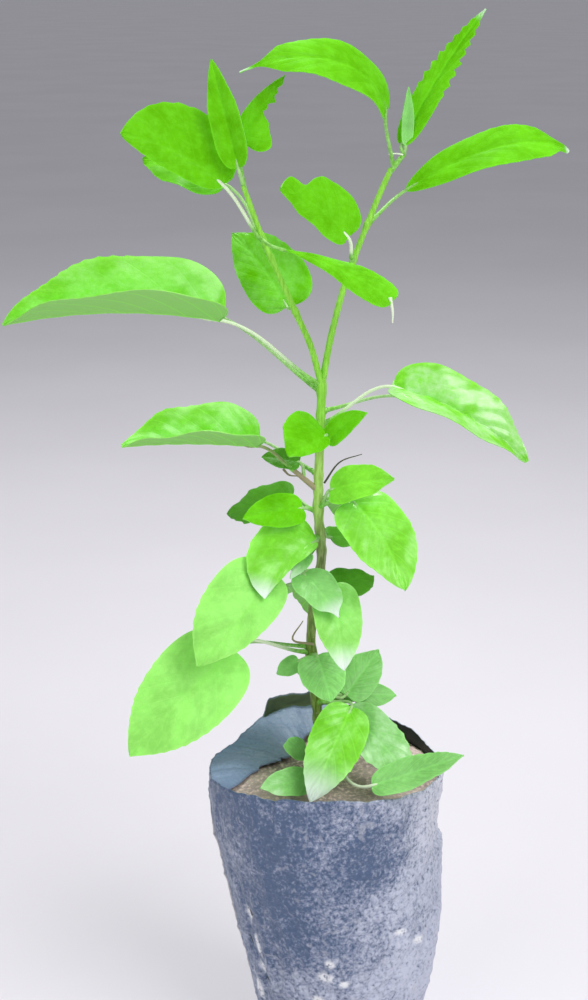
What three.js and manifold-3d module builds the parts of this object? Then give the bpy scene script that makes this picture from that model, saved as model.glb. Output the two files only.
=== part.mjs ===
// A young hibiscus shrub in its nursery polybag. Millimetres, +Z up.
// The origin is the centre of the bag's flat underside. The front of the plant faces -Y.
import * as THREE from "three";
import { mergeVertices } from "three/addons/utils/BufferGeometryUtils.js";
import Module from "manifold-3d";

const wasm = await Module();
wasm.setup();

// Driving dimensions of the bag and its soil
const FILM_THICKNESS = 1.0; // stands in for the folded film, so that the wall is a solid one
const FIT_GAP = 0.35; // between pieces that touch on the real plant
const SOIL_GAP = 0.9; // from the soil to the film
const BAG_STEPS = 40; // facets round the bag
const RIM_HEIGHT = 142.5; // mean height of the rim
const RIM_WAVE = 3.5; // the rim is higher at front and back than at the sides
const SOIL_LEVEL = 135.5;
const SOIL_EDGE = 134.5; // where the soil meets the film
const SOIL_BUMP = 1;
const FOOT_ROUND = 5; // radius of the corner between the underside and the wall
const WRINKLE = 0.8; // the film gathers towards the foot
const WRINKLE_COUNT = 11;
const SOIL_HUMPS = 3;
const SOIL_RINGS = [7, 19, 34]; // how far the rings of the soil's top lie inside its edge
// The wall narrows to the foot and leans: height, radius and sideways shift of the centre
const BAG_RINGS = [
  { height: 0, radius: 32, shift: 0 },
  { height: 26, radius: 35.5, shift: 2 },
  { height: 50, radius: 40, shift: 2.5 },
  { height: 75, radius: 44, shift: 1 },
  { height: 95, radius: 46, shift: -1.5 },
  { height: 122, radius: 48.5, shift: -4.5 },
  { height: 160, radius: 49, shift: -5.5 },
];
// At the back left the film is folded over the soil, up to a straight edge, and a corner stands up
const FOLD_HEADING = 146; // the way that the straight edge faces
const FOLD_EDGE = 22; // from the middle of the bag to that edge
const FOLD_PULL = 5; // how far the fold pulls the rim inward
const FOLD_PULL_SPREAD = 36; // degrees to each side
const PULL_START = 112; // height above the underside
const RIM_LIP = 1.6; // the narrow lip of the rim elsewhere
const RIM_ROUND = 0.4;
const RIM_DEPTH = 2; // from the top of the rim to its underside
const FOLD_CLEAR = 2.4; // from the soil up to the top of the fold's edge
const CORNER_HEADING = 112;
const CORNER_SPREAD = 16; // degrees to each side
const CORNER_RISE = 5;

// Driving dimensions of the limbs, each with the points that its axis passes through
const GROUND = SOIL_LEVEL + SOIL_BUMP + FIT_GAP;
const FORK_HEIGHT = 305;
const BOUGH_START = FORK_HEIGHT - 4; // the boughs part from the trunk a little under its top
const FLARE_HEIGHT = 14;
const TRUNK_RADIUS = { foot: 2.1, top: 1.7, flare: 2.8 };
const TRUNK_BENDS = [
  [-6.5, 0, GROUND],
  [-8, 0.5, 160],
  [-11, 1, 191],
  [-10, 0.5, 210],
  [-7, 0, 230],
  [-8.3, 0, 251],
  [-7.8, 0, 280],
  [-7, 0, FORK_HEIGHT],
];
const LEFT_BOUGH_RADIUS = { foot: 1.25, top: 0.95 };
const LEFT_BOUGH_BENDS = [
  [-7, 0, BOUGH_START],
  [-11.5, -2, 318],
  [-17.5, -4, 332],
  [-29.5, -8, 360],
  [-37, -12, 381],
];
const RIGHT_BOUGH_RADIUS = { foot: 1.3, top: 1.05 };
const RIGHT_BOUGH_BENDS = [
  [-7, 0, BOUGH_START],
  [-4.8, 2, 315],
  [0, 5, 335],
  [4.8, 9, 349],
  [15, 14.5, 374],
  [19.6, 17, 384],
];

// Driving dimensions that all leaves share
const LEAF_THICKNESS = 0.95;
const STALK_RADIUS = { foot: 0.95, top: 0.75 };
const STALK_ARM = 0.35; // share of the stalk's length over which it keeps its first and last direction
const STALK_RUN = [0.06, 0.12]; // the stalk runs on under these shares of the midrib
const SPUR_RADIUS = 1.3;
const SPUR_SINK = 0.98; // a shoot that continues a limb starts at this share of it
const ROW_LENGTH = 9.5; // a blade has a row of points at about every such step along it
const SMALL_BLADE = 25; // a shorter one has only its midrib and its two edges
const WIDEST = 0.34; // share of the blade's length, from its base
const SLENDER = 1.4;
const CURL = 0.12;
const TOOTH = 0.05; // share of the half width
const TIP_WIDTH = 0.45;
const HEART_SLANT = -0.3; // the rows sweep back at the base, so that it is heart shaped
const TIP_SLANT = 0.25;
const BITE_START = 0.2; // share of the length from which a half is chewed
const BITE_END = 0.45; // from here on only a strip along the midrib is left
const BITE_LEFT = 0.2;
const BITE_RIPPLE = 0.06;
const BITE_COUNT = 3.5;

// Every shoot leaves its limb at a height, by a short spur that bears its leaves. A direction is a
// heading round +Z, with 0 at +X and 270 at the front, and a rise above the level. A spur, stalk or
// blade is [length, heading, rise], where a blade's length and direction run from its base to its tip.
// from: share of the spur at which the stalk starts, 1 if not given
// face: the way that the upper side of the blade looks
// arch: how far the blade bends down from base to tip, more of it near the base with early below 1
// sweep: how far it bends sideways from base to tip
// fold: the rise of both halves from the midrib
// lop: makes the half towards the blade's side wider, and the other one narrower, by this share
// widest, slender: the outline's own shape where it isn't the usual one
// bitten: the other half has been chewed by an insect
// All angles are in degrees.
const SHOOTS = [
  {
    name: "leaves_right_tip", limb: "right", height: 384, continues: true, spur: [9, 15, 50], leaves: [
      { from: 0.3, stalk: [24, 247, 66], blade: [64, 209, 15], width: 21, face: [285, 42], arch: 100,
        sweep: 35, early: 0.6, widest: 0.3, fold: 8 },
      { stalk: [4, 200, 75], blade: [60, 14, 57], width: 12, face: [250, 15], sweep: -14, lop: -0.1,
        fold: 20 },
      { stalk: [4, 300, 70], blade: [22, 290, 86], width: 6, face: [290, 0], fold: 30 },
    ],
  },
  {
    name: "leaves_right_upper", limb: "right", height: 363, spur: [4, 47, 30], leaves: [
      { stalk: [22, 47, 25], blade: [69, 13, 11], width: 18, face: [275, 45], arch: 85, early: 1.5,
        widest: 0.55, slender: 1.2, fold: 10 },
    ],
  },
  {
    name: "leaves_right_lower", limb: "right", height: 349, spur: [3, 256, 45], leaves: [
      { stalk: [9, 243, 68], blade: [35, 206, 35], width: 21, face: [290, 25], sweep: 34, lop: -0.3,
        fold: 5 },
    ],
  },
  {
    name: "leaves_left_tip", limb: "left", height: 381, continues: true, spur: [12, 200, 78], leaves: [
      { stalk: [8, 69, 80], blade: [28, 20, 50], width: 17, face: [280, 10], lop: -0.5, fold: 5,
        bitten: true },
      { from: 0.1, stalk: [8, 232, 66], blade: [40, 167, 76], width: 13.5, face: [250, 5], fold: 20 },
    ],
  },
  {
    name: "leaves_left_middle", limb: "left", height: 360, spur: [3, 190, 40], leaves: [
      { stalk: [23, 185, 56], blade: [42, 188, 27], width: 25, face: [280, 5], sweep: 36, lop: -0.4,
        widest: 0.42, slender: 1.4, fold: 5 },
      { stalk: [9, 325, -25], blade: [49, 343, -21], width: 13, face: [285, 40], sweep: -28,
        widest: 0.8, slender: 2.2 },
    ],
  },
  {
    name: "leaves_left_lower", limb: "left", height: 332, spur: [3, 110, 20], leaves: [
      { stalk: [4, 125, -5], blade: [42, 130, 36], width: 26, face: [275, 15], sweep: 20, lop: -0.12,
        fold: 5 },
    ],
  },
  {
    name: "leaves_fork_left", limb: "trunk", height: 302, spur: [4, 195, 30], leaves: [
      { stalk: [45, 194, 35], blade: [82, 187, 0], width: 49, face: [280, 70], arch: 26, fold: 55 },
    ],
  },
  {
    name: "leaves_upper_right", limb: "trunk", height: 284, spur: [4, 30, 45], leaves: [
      { stalk: [30, 5, 27], blade: [60, 350, -28], width: 30, face: [265, 60], arch: 50, fold: 32 },
    ],
  },
  {
    name: "leaves_side_shoot", limb: "trunk", height: 259, spur: [14, 195, 42], leaves: [
      { stalk: [19, 203, 37], blade: [54, 198, 4.5], width: 35, face: [283, 70], arch: 12, fold: 54 },
      { from: 0.55, stalk: [7, 150, 70], blade: [15, 177, 8], width: 10, face: [280, 48], arch: 20,
        fold: 15 },
    ],
  },
  {
    name: "leaves_upper_front", limb: "trunk", height: 279, spur: [4, 280, 30], leaves: [
      { stalk: [6, 290, 30], blade: [25, 234, -7], width: 18.5, face: [290, 35], arch: 30, lop: -0.5,
        fold: 5 },
      { stalk: [3, 331, -20], blade: [20.5, 344, 40], width: 10, face: [260, 30], sweep: -40, fold: 20 },
    ],
  },
  {
    name: "leaves_middle_right", limb: "trunk", height: 252, spur: [4, 300, 30], leaves: [
      { stalk: [8, 320, 60], blade: [28, 335, 16], width: 17, face: [270, 45], arch: 30, fold: 10 },
      { stalk: [13, 335, 15], blade: [44, 306, -39], width: 27, face: [285, 25], arch: 25, sweep: -22,
        fold: 8 },
    ],
  },
  {
    name: "leaves_middle_left", limb: "trunk", height: 250, spur: [4, 190, 25], leaves: [
      { stalk: [10, 136, 13], blade: [31, 156, -20], width: 20, face: [275, 55], arch: 20, fold: 8 },
      { stalk: [4, 226, 15], blade: [26, 205, -2], width: 15, face: [275, 40], arch: 25, fold: 8 },
    ],
  },
  {
    name: "leaves_lower_left", limb: "trunk", height: 239, spur: [4, 235, 25], leaves: [
      { stalk: [4, 275, -9], blade: [34, 227, -29], width: 21, face: [270, 35], arch: 25, sweep: 45,
        lop: -0.6, fold: 8 },
      { stalk: [7, 230, -60], blade: [15, 234, -28], width: 6, face: [285, 40], arch: 10, fold: 10 },
    ],
  },
  {
    name: "leaves_lower_back", limb: "trunk", height: 243, spur: [3, 70, 5], leaves: [
      { stalk: [8, 50, -50], blade: [18, 40, -12], width: 13, face: [270, 60], arch: 20, fold: 5 },
    ],
  },
  {
    name: "leaves_left_broad", limb: "trunk", height: 225, spur: [4, 226, 15], leaves: [
      { stalk: [22, 224, 9], blade: [48, 221, -36], width: 29, face: [275, 30], arch: 25, lop: -0.2,
        fold: 8 },
    ],
  },
  {
    name: "leaves_right_broad", limb: "trunk", height: 218, spur: [4, 290, 30], leaves: [
      { stalk: [14, 235, 35], blade: [26, 305, -25], width: 17, face: [285, 45], arch: 25, fold: 12 },
      { stalk: [13, 293, 20], blade: [37, 279, -45], width: 20, face: [280, 30], arch: 20, fold: 12 },
    ],
  },
  {
    name: "leaves_right_round", limb: "trunk", height: 217, spur: [3, 45, 10], leaves: [
      { stalk: [7, 42, -15], blade: [24, 45, -3], width: 17, face: [265, 55], arch: 15, fold: 5 },
    ],
  },
  {
    name: "leaves_lowest_left", limb: "trunk", height: 189, spur: [4, 212, 20], leaves: [
      { stalk: [36, 211, 14], blade: [58, 217, -35], width: 36, face: [280, 30], arch: 30, fold: 8 },
    ],
  },
  {
    name: "leaves_low_front", limb: "trunk", height: 188, spur: [4, 275, 20], leaves: [
      { stalk: [6, 290, 20], blade: [24, 285, -28], width: 19, face: [270, 40], arch: 20, fold: 5 },
      { stalk: [6, 200, -15], blade: [11, 210, -20], width: 8, face: [270, 35], arch: 15, fold: 5 },
    ],
  },
  {
    name: "leaves_low_right", limb: "trunk", height: 171, spur: [4, 35, -10], leaves: [
      { stalk: [11, 25, -15], blade: [26, 50, 30], width: 17, face: [265, 30], arch: 15, fold: 5 },
      { stalk: [16, 30, -15], blade: [18, 10, -5], width: 11, face: [265, 40], arch: 15, fold: 5 },
    ],
  },
  {
    name: "leaves_foot_front", limb: "trunk", height: 167, spur: [4, 310, 25], leaves: [
      { stalk: [15, 322, 5], blade: [43, 237, -43], width: 22.5, face: [275, 40], arch: 25, fold: 8 },
      { stalk: [11, 335, -10], blade: [42, 318, -30], width: 22, face: [270, 60], arch: 25, fold: 8 },
    ],
  },
  {
    name: "leaves_foot_right", limb: "trunk", height: 149, spur: [4, 300, 5], leaves: [
      { stalk: [38, 299, -3], blade: [41, 342, 27], width: 15, face: [265, 55], arch: -5, fold: 12 },
    ],
  },
  {
    name: "leaves_foot_left", limb: "trunk", height: 148, spur: [3, 250, 5], leaves: [
      { stalk: [8, 230, 10], blade: [13, 220, 25], width: 10, face: [270, 40], arch: 10, fold: 5 },
      { stalk: [20, 262, -15], blade: [23, 206, 2], width: 13, face: [270, 50], arch: 15, fold: 5 },
    ],
  },
  {
    name: "leaves_back_bough", limb: "left", height: 353, spur: [3, 110, 20], leaves: [
      { stalk: [32, 148, 52], blade: [38, 152, 12], width: 24, face: [290, 50], arch: 25, fold: 10 },
    ],
  },
  {
    name: "leaves_back_fork", limb: "trunk", height: 299, spur: [4, 150, 30], leaves: [
      { stalk: [50, 157, 31], blade: [56, 155, 0], width: 24, face: [290, 65], arch: 35, fold: 20 },
    ],
  },
  {
    name: "leaves_back_upper_right", limb: "trunk", height: 290, spur: [4, 50, 20], leaves: [
      { stalk: [36, 36, 1], blade: [56, 30, -24], width: 28, face: [270, 70], arch: 35, fold: 20 },
    ],
  },
  {
    name: "leaves_back_side", limb: "trunk", height: 265, spur: [4, 140, 25], leaves: [
      { stalk: [30, 143, 17], blade: [42, 152, 0], width: 18, face: [290, 65], arch: 25, fold: 15 },
    ],
  },
  {
    name: "leaves_back_right", limb: "trunk", height: 254, spur: [4, 60, 10], leaves: [
      { stalk: [20, 62, -20], blade: [45, 43, -44], width: 30, face: [60, 40], arch: 30, fold: 8 },
    ],
  },
  {
    name: "leaves_back_middle", limb: "trunk", height: 234, spur: [4, 120, 10], leaves: [
      { stalk: [13, 117, -15], blade: [34, 129, -41], width: 24, face: [110, 40], arch: 25, fold: 8 },
    ],
  },
  {
    name: "leaves_back_left", limb: "trunk", height: 221, spur: [4, 115, 0], leaves: [
      { stalk: [26, 118, -25], blade: [50, 144, -42], width: 33, face: [130, 40], arch: 30, fold: 8 },
      { stalk: [12, 80, -40], blade: [36, 80, -45], width: 24, face: [80, 30], arch: 20, fold: 8 },
    ],
  },
  {
    name: "leaves_back_lowest", limb: "trunk", height: 191, spur: [4, 140, 0], leaves: [
      { stalk: [35, 146, -12], blade: [56, 152, -42], width: 36, face: [150, 40], arch: 30, fold: 8 },
    ],
  },
  {
    name: "leaves_back_low", limb: "trunk", height: 180, spur: [4, 80, 5], leaves: [
      { stalk: [11, 82, -16], blade: [31, 76, -43], width: 23, face: [80, 40], arch: 25, fold: 8 },
    ],
  },
  {
    name: "leaves_back_foot", limb: "trunk", height: 160, spur: [4, 60, 5], leaves: [
      { stalk: [16, 60, 0], blade: [32, 48, -12], width: 22, face: [70, 60], arch: 25, fold: 8 },
    ],
  },
];

const LOOKS = {
  leaf: { color: 0x63c926, roughness: 0.45, metalness: 0 },
  green_bark: { color: 0x5a8c2a, roughness: 0.6, metalness: 0 },
  bark: { color: 0x6e6a3c, roughness: 0.75, metalness: 0 },
  film: { color: 0x434b5a, roughness: 0.5, metalness: 0 },
  soil: { color: 0x6b5a4c, roughness: 1, metalness: 0 },
};

function look(kind) {
  return new THREE.MeshStandardMaterial(LOOKS[kind]);
}

function radians(degrees) {
  return THREE.MathUtils.degToRad(degrees);
}

function direction(heading, rise) {
  const level = Math.cos(radians(rise));
  return new THREE.Vector3(
    level * Math.cos(radians(heading)),
    level * Math.sin(radians(heading)),
    Math.sin(radians(rise)),
  );
}

// A smooth hump of height 1 at the middle heading, which ends spread degrees to each side
function hump(heading, middle, spread) {
  const off = Math.abs(THREE.MathUtils.euclideanModulo(heading - middle + 180, 360) - 180);
  return off >= spread ? 0 : 0.5 + 0.5 * Math.cos((Math.PI * off) / spread);
}

function toSolid(positions, triangles) {
  let geometry = new THREE.BufferGeometry();
  geometry.setAttribute("position", new THREE.Float32BufferAttribute(positions, 3));
  geometry.setIndex(triangles);
  geometry = mergeVertices(geometry, 1e-4);
  const vertProperties = new Float32Array(geometry.attributes.position.array);
  const triVerts = new Uint32Array(geometry.index.array);
  return new wasm.Manifold(new wasm.Mesh({ numProp: 3, vertProperties, triVerts }));
}

function toMesh(name, solid, kind) {
  const mesh = solid.getMesh();
  const geometry = new THREE.BufferGeometry();
  geometry.setAttribute("position", new THREE.BufferAttribute(mesh.vertProperties, 3));
  geometry.setIndex(new THREE.BufferAttribute(mesh.triVerts, 1));
  geometry.computeVertexNormals();
  const piece = new THREE.Mesh(geometry, look(kind));
  piece.name = name;
  return piece;
}

// A closed solid through rings of points that all have the same count, capped at both ends
function skin(rings) {
  const positions = [];
  const triangles = [];
  const count = rings[0].length;
  for (const ring of rings) {
    for (const point of ring) {
      positions.push(point.x, point.y, point.z);
    }
  }
  for (let row = 0; row + 1 < rings.length; row += 1) {
    for (let step = 0; step < count; step += 1) {
      const here = row * count + step;
      const next = row * count + ((step + 1) % count);
      triangles.push(here, next, here + count);
      triangles.push(next, next + count, here + count);
    }
  }
  const caps = [[0, -1], [rings.length - 1, 1]];
  for (const [row, side] of caps) {
    const middle = new THREE.Vector3();
    for (const point of rings[row]) {
      middle.addScaledVector(point, 1 / count);
    }
    const centre = positions.length / 3;
    positions.push(middle.x, middle.y, middle.z);
    for (let step = 0; step < count; step += 1) {
      const here = row * count + step;
      const next = row * count + ((step + 1) % count);
      triangles.push(...(side > 0 ? [here, next, centre] : [next, here, centre]));
    }
  }
  return toSolid(positions, triangles);
}

// A tapering tube along a curve, which may run on past both ends
function tube(curve, steps, sides, radiusAt, overrun = 0) {
  const frames = curve.computeFrenetFrames(steps, false);
  const rings = [];
  for (let step = 0; step <= steps; step += 1) {
    const along = step / steps;
    const centre = curve.getPointAt(along);
    const end = step === 0 ? -1 : Number(step === steps);
    centre.addScaledVector(frames.tangents[step], end * overrun);
    const radius = radiusAt(along, centre);
    const ring = [];
    for (let side = 0; side < sides; side += 1) {
      const turn = (2 * Math.PI * side) / sides;
      const point = centre.clone();
      point.addScaledVector(frames.normals[step], radius * Math.cos(turn));
      point.addScaledVector(frames.binormals[step], radius * Math.sin(turn));
      ring.push(point);
    }
    rings.push(ring);
  }
  return skin(rings);
}

function curveThrough(bends) {
  const points = bends.map((bend) => new THREE.Vector3(...bend));
  return new THREE.CatmullRomCurve3(points, false, "centripetal");
}

// The place on a limb's axis at a height
function placeAt(curve, height) {
  let low = 0;
  let high = 1;
  for (let round = 0; round < 30; round += 1) {
    const middle = (low + high) / 2;
    if (curve.getPointAt(middle).z < height) {
      low = middle;
    } else {
      high = middle;
    }
  }
  return curve.getPointAt(low);
}

// Trunk and boughs
const LIMBS = {
  trunk: { curve: curveThrough(TRUNK_BENDS), steps: 20, sides: 8, ...TRUNK_RADIUS },
  left: { curve: curveThrough(LEFT_BOUGH_BENDS), steps: 9, sides: 7, ...LEFT_BOUGH_RADIUS },
  right: { curve: curveThrough(RIGHT_BOUGH_BENDS), steps: 9, sides: 7, ...RIGHT_BOUGH_RADIUS },
};

function limbSolid(limb, extra = 0) {
  return tube(limb.curve, limb.steps, limb.sides, (along, centre) => {
    const above = Math.max(0, centre.z - GROUND);
    const flare = (limb.flare ?? 0) * Math.exp((-3 * above) / FLARE_HEIGHT);
    return THREE.MathUtils.lerp(limb.foot, limb.top, along) + flare + extra;
  }, extra);
}

// The limbs with the gap round them, which every shoot keeps clear of
const LIMB_SPACES = Object.values(LIMBS).map((limb) => limbSolid(limb, FIT_GAP));

// The frame of a blade: its chord, its face and the side between them
function bladeFrame(leaf) {
  const [length, heading, rise] = leaf.blade;
  const chord = direction(heading, rise);
  const face = direction(...leaf.face);
  const up = face.addScaledVector(chord, -face.dot(chord)).normalize();
  const side = new THREE.Vector3().crossVectors(up, chord);
  return { length, chord, up, side };
}

// The midrib's points, with the way ahead and the face at each, from base to tip
function midrib(leaf, base) {
  const { length, chord, up, side } = bladeFrame(leaf);
  const arch = radians(leaf.arch ?? 0);
  const sweep = radians(leaf.sweep ?? 0);
  const fine = 40;
  const early = leaf.early ?? 1;
  const ahead = (share) => {
    const dip = arch * (1 / (early + 1) - share ** early);
    const turn = sweep * (share - 0.5);
    const way = chord.clone().multiplyScalar(Math.cos(dip) * Math.cos(turn));
    way.addScaledVector(up, Math.sin(dip));
    way.addScaledVector(side, Math.sin(turn));
    return way.normalize();
  };
  const walk = [new THREE.Vector3()];
  for (let step = 0; step < fine; step += 1) {
    walk.push(walk[step].clone().add(ahead((step + 0.5) / fine)));
  }
  const scale = length / walk[fine].length();
  return (share) => {
    const place = share * fine;
    const whole = Math.min(fine - 1, Math.floor(place));
    const point = walk[whole].clone().lerp(walk[whole + 1], place - whole);
    const way = ahead(share);
    const top = up.clone().addScaledVector(way, -up.dot(way)).normalize();
    return {
      point: point.multiplyScalar(scale).add(base),
      way,
      top,
      side: new THREE.Vector3().crossVectors(top, way),
    };
  };
}

// Half the blade's width at a share of its length, as a share of the greatest half width
function outline(share, leaf) {
  const widest = leaf.widest ?? WIDEST;
  const rising = (share / widest) ** widest;
  const falling = ((1 - share) / (1 - widest)) ** (1 - widest);
  return (rising * falling) ** (leaf.slender ?? SLENDER);
}

// What is left of a half that an insect has chewed
function bite(share) {
  const eaten = THREE.MathUtils.smoothstep(share, BITE_START, BITE_END);
  const ripple = BITE_RIPPLE * Math.sin(2 * Math.PI * share * BITE_COUNT);
  return THREE.MathUtils.lerp(1, BITE_LEFT + ripple, eaten);
}

// One thin closed blade, folded at its midrib
function bladeSolid(leaf, base) {
  const rib = midrib(leaf, base);
  const fold = radians(leaf.fold ?? 0);
  const rows = THREE.MathUtils.clamp(Math.round(leaf.blade[0] / ROW_LENGTH), 4, 8);
  const columns = leaf.blade[0] < SMALL_BLADE ? 2 : 4;
  const rings = [];
  for (let row = 0; row <= rows; row += 1) {
    const even = row / rows;
    const share = 0.6 * even + 0.2 * (1 - Math.cos(Math.PI * even));
    const { point, way, top, side } = rib(share);
    const tooth = row > 2 && row < rows ? TOOTH * (row % 2 ? 1 : -1) : 0;
    const half = Math.max(TIP_WIDTH, (leaf.width / 2) * outline(share, leaf) * (1 + tooth));
    const slant = THREE.MathUtils.lerp(HEART_SLANT, TIP_SLANT, THREE.MathUtils.smoothstep(share, 0, 0.7));
    const upper = [];
    const lower = [];
    for (let column = 0; column <= columns; column += 1) {
      const across = (2 * column) / columns - 1;
      const lop = 1 + Math.sign(across) * (leaf.lop ?? 0);
      const reach = half * Math.abs(across) * lop * (leaf.bitten && across < 0 ? bite(share) : 1);
      const lean = across === 0 ? 0 : fold - Math.atan(2 * CURL * Math.abs(across));
      const middle = point.clone();
      middle.addScaledVector(way, reach * slant);
      middle.addScaledVector(side, Math.sign(across) * reach * Math.cos(fold));
      middle.addScaledVector(top, reach * Math.sin(fold) - CURL * reach * Math.abs(across));
      const out = top.clone().multiplyScalar(Math.cos(lean));
      out.addScaledVector(side, -Math.sign(across) * Math.sin(lean));
      upper.push(middle.clone().addScaledVector(out, LEAF_THICKNESS / 2));
      lower.push(middle.clone().addScaledVector(out, -LEAF_THICKNESS / 2));
    }
    rings.push([...lower, ...upper.reverse()]);
  }
  return stripSkin(rings);
}

// As skin, with caps made of quads between the lower and upper points
function stripSkin(rings) {
  const count = rings[0].length;
  const positions = rings.flat().flatMap((point) => [point.x, point.y, point.z]);
  const triangles = [];
  for (let row = 0; row + 1 < rings.length; row += 1) {
    for (let step = 0; step < count; step += 1) {
      const here = row * count + step;
      const next = row * count + ((step + 1) % count);
      triangles.push(here, next, here + count);
      triangles.push(next, next + count, here + count);
    }
  }
  const last = (rings.length - 1) * count;
  for (let step = 0; step + 1 < count / 2; step += 1) {
    const across = count - 1 - step;
    triangles.push(step + 1, step, across, step + 1, across, across - 1);
    triangles.push(last + step, last + step + 1, last + across);
    triangles.push(last + step + 1, last + across - 1, last + across);
  }
  return toSolid(positions, triangles);
}

// The stalk from its shoot to the blade, running on under the start of the midrib
function stalkSolid(leaf, from, base) {
  const rib = midrib(leaf, base);
  const [length, heading, rise] = leaf.stalk;
  const start = direction(heading, rise).multiplyScalar(length * STALK_ARM);
  const end = rib(0).way.clone().multiplyScalar(length * STALK_ARM);
  const bend = new THREE.CubicBezierCurve3(from, from.clone().add(start), base.clone().sub(end), base);
  const points = bend.getPoints(4);
  points.push(...STALK_RUN.map((share) => rib(share).point));
  const curve = new THREE.CatmullRomCurve3(points, false, "centripetal");
  return tube(curve, 6, 4, (along) => THREE.MathUtils.lerp(STALK_RADIUS.foot, STALK_RADIUS.top, along));
}

function shootSolid(shoot) {
  const limb = LIMBS[shoot.limb];
  const root = shoot.continues ? limb.curve.getPointAt(SPUR_SINK) : placeAt(limb.curve, shoot.height);
  const [length, heading, rise] = shoot.spur;
  const spurTip = root.clone().addScaledVector(direction(heading, rise), length);
  const spurRadius = shoot.continues ? limb.top : SPUR_RADIUS;
  const spurCurve = new THREE.LineCurve3(root, spurTip);
  const spurAt = (along) => THREE.MathUtils.lerp(spurRadius, STALK_RADIUS.foot, along);
  let solid = tube(spurCurve, 1, 5, spurAt);
  for (const leaf of shoot.leaves) {
    const from = root.clone().lerp(spurTip, leaf.from ?? 1);
    const [stalkLength, stalkHeading, stalkRise] = leaf.stalk;
    const base = from.clone().addScaledVector(direction(stalkHeading, stalkRise), stalkLength);
    solid = solid.add(stalkSolid(leaf, from, base)).add(bladeSolid(leaf, base));
  }
  for (const space of LIMB_SPACES) {
    solid = solid.subtract(space);
  }
  return solid;
}

// Radius and sideways shift of the bag's wall at a height
function wallAt(height) {
  const next = Math.max(1, BAG_RINGS.findIndex((ring) => ring.height >= height));
  const low = BAG_RINGS[next - 1];
  const high = BAG_RINGS[next];
  const share = (height - low.height) / (high.height - low.height);
  return {
    radius: THREE.MathUtils.lerp(low.radius, high.radius, share),
    shift: THREE.MathUtils.lerp(low.shift, high.shift, share),
  };
}

// How far the film reaches inward over the soil
function foldWidth(heading) {
  const toEdge = Math.cos(radians(heading - FOLD_HEADING));
  const { radius } = wallAt(RIM_HEIGHT);
  return toEdge <= 0 ? RIM_LIP : Math.max(RIM_LIP, radius - FOLD_EDGE / toEdge);
}

function rimHeight(heading) {
  const wave = RIM_WAVE * Math.cos(radians(2 * (heading - 90)));
  return RIM_HEIGHT + wave + CORNER_RISE * hump(heading, CORNER_HEADING, CORNER_SPREAD);
}

// A ring round the bag: the height and the distance inside the wall may change with the heading
function bagRing(heightAt, insetAt) {
  const ring = [];
  for (let step = 0; step < BAG_STEPS; step += 1) {
    const heading = (360 * step) / BAG_STEPS;
    const height = heightAt(heading);
    const { radius, shift } = wallAt(height);
    const gather = WRINKLE * Math.sin(radians(WRINKLE_COUNT * heading)) * (1 - height / RIM_HEIGHT) ** 2;
    const raised = THREE.MathUtils.smoothstep(height, PULL_START, RIM_HEIGHT);
    const pull = FOLD_PULL * hump(heading, FOLD_HEADING, FOLD_PULL_SPREAD) * raised;
    const reach = radius + gather - pull - insetAt(heading);
    ring.push(new THREE.Vector3(
      shift + reach * Math.cos(radians(heading)),
      reach * Math.sin(radians(heading)),
      height,
    ));
  }
  return ring;
}

function bagSolid() {
  const wallHeights = [...BAG_RINGS.slice(1, -1).map((ring) => ring.height), SOIL_EDGE];
  const foldTop = SOIL_LEVEL + SOIL_BUMP + FOLD_CLEAR;
  const edgeHeight = (heading) => {
    const share = Math.min(1, (foldWidth(heading) - RIM_LIP) / FOLD_EDGE);
    return THREE.MathUtils.lerp(rimHeight(heading) - RIM_ROUND, foldTop, share);
  };
  const rings = [
    bagRing(() => 0, () => FOOT_ROUND),
    bagRing(() => FOOT_ROUND * 0.3, () => FOOT_ROUND * 0.3),
    bagRing(() => FOOT_ROUND, () => 0),
    ...wallHeights.map((height) => bagRing(() => height, () => 0)),
    bagRing(rimHeight, () => RIM_ROUND),
    bagRing(edgeHeight, foldWidth),
    bagRing((heading) => edgeHeight(heading) - FILM_THICKNESS, foldWidth),
    bagRing((heading) => rimHeight(heading) - RIM_DEPTH, () => FILM_THICKNESS),
    ...wallHeights.reverse().map((height) => bagRing(() => height, () => FILM_THICKNESS)),
    bagRing(() => FOOT_ROUND, () => FILM_THICKNESS),
    bagRing(() => FILM_THICKNESS, () => FOOT_ROUND),
  ];
  return skin(rings);
}

function soilSolid() {
  const inset = FILM_THICKNESS + SOIL_GAP;
  const wallHeights = [...BAG_RINGS.slice(1, -1).map((ring) => ring.height), SOIL_EDGE];
  const rings = [
    bagRing(() => FILM_THICKNESS + FIT_GAP, () => FOOT_ROUND + FIT_GAP),
    bagRing(() => FOOT_ROUND + FIT_GAP, () => inset),
    ...wallHeights.map((height) => bagRing(() => height, () => inset)),
  ];
  for (const inward of SOIL_RINGS) {
    const bump = (heading) => SOIL_BUMP * Math.sin(radians(SOIL_HUMPS * heading) + inward / 8);
    rings.push(bagRing((heading) => SOIL_LEVEL + bump(heading), () => inset + inward));
  }
  return skin(rings);
}

const plant = new THREE.Group();
plant.add(toMesh("bag", bagSolid(), "film"));
plant.add(toMesh("soil", soilSolid(), "soil"));
const trunk = limbSolid(LIMBS.trunk);
const nearTrunk = limbSolid(LIMBS.trunk, FIT_GAP);
const rightBough = limbSolid(LIMBS.right).subtract(nearTrunk);
const leftBough = limbSolid(LIMBS.left).subtract(nearTrunk).subtract(limbSolid(LIMBS.right, FIT_GAP));
plant.add(toMesh("trunk", trunk, "bark"));
plant.add(toMesh("bough_right", rightBough, "green_bark"));
plant.add(toMesh("bough_left", leftBough, "green_bark"));
for (const shoot of SHOOTS) {
  plant.add(toMesh(shoot.name, shootSolid(shoot), "leaf"));
}

export default plant;
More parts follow.
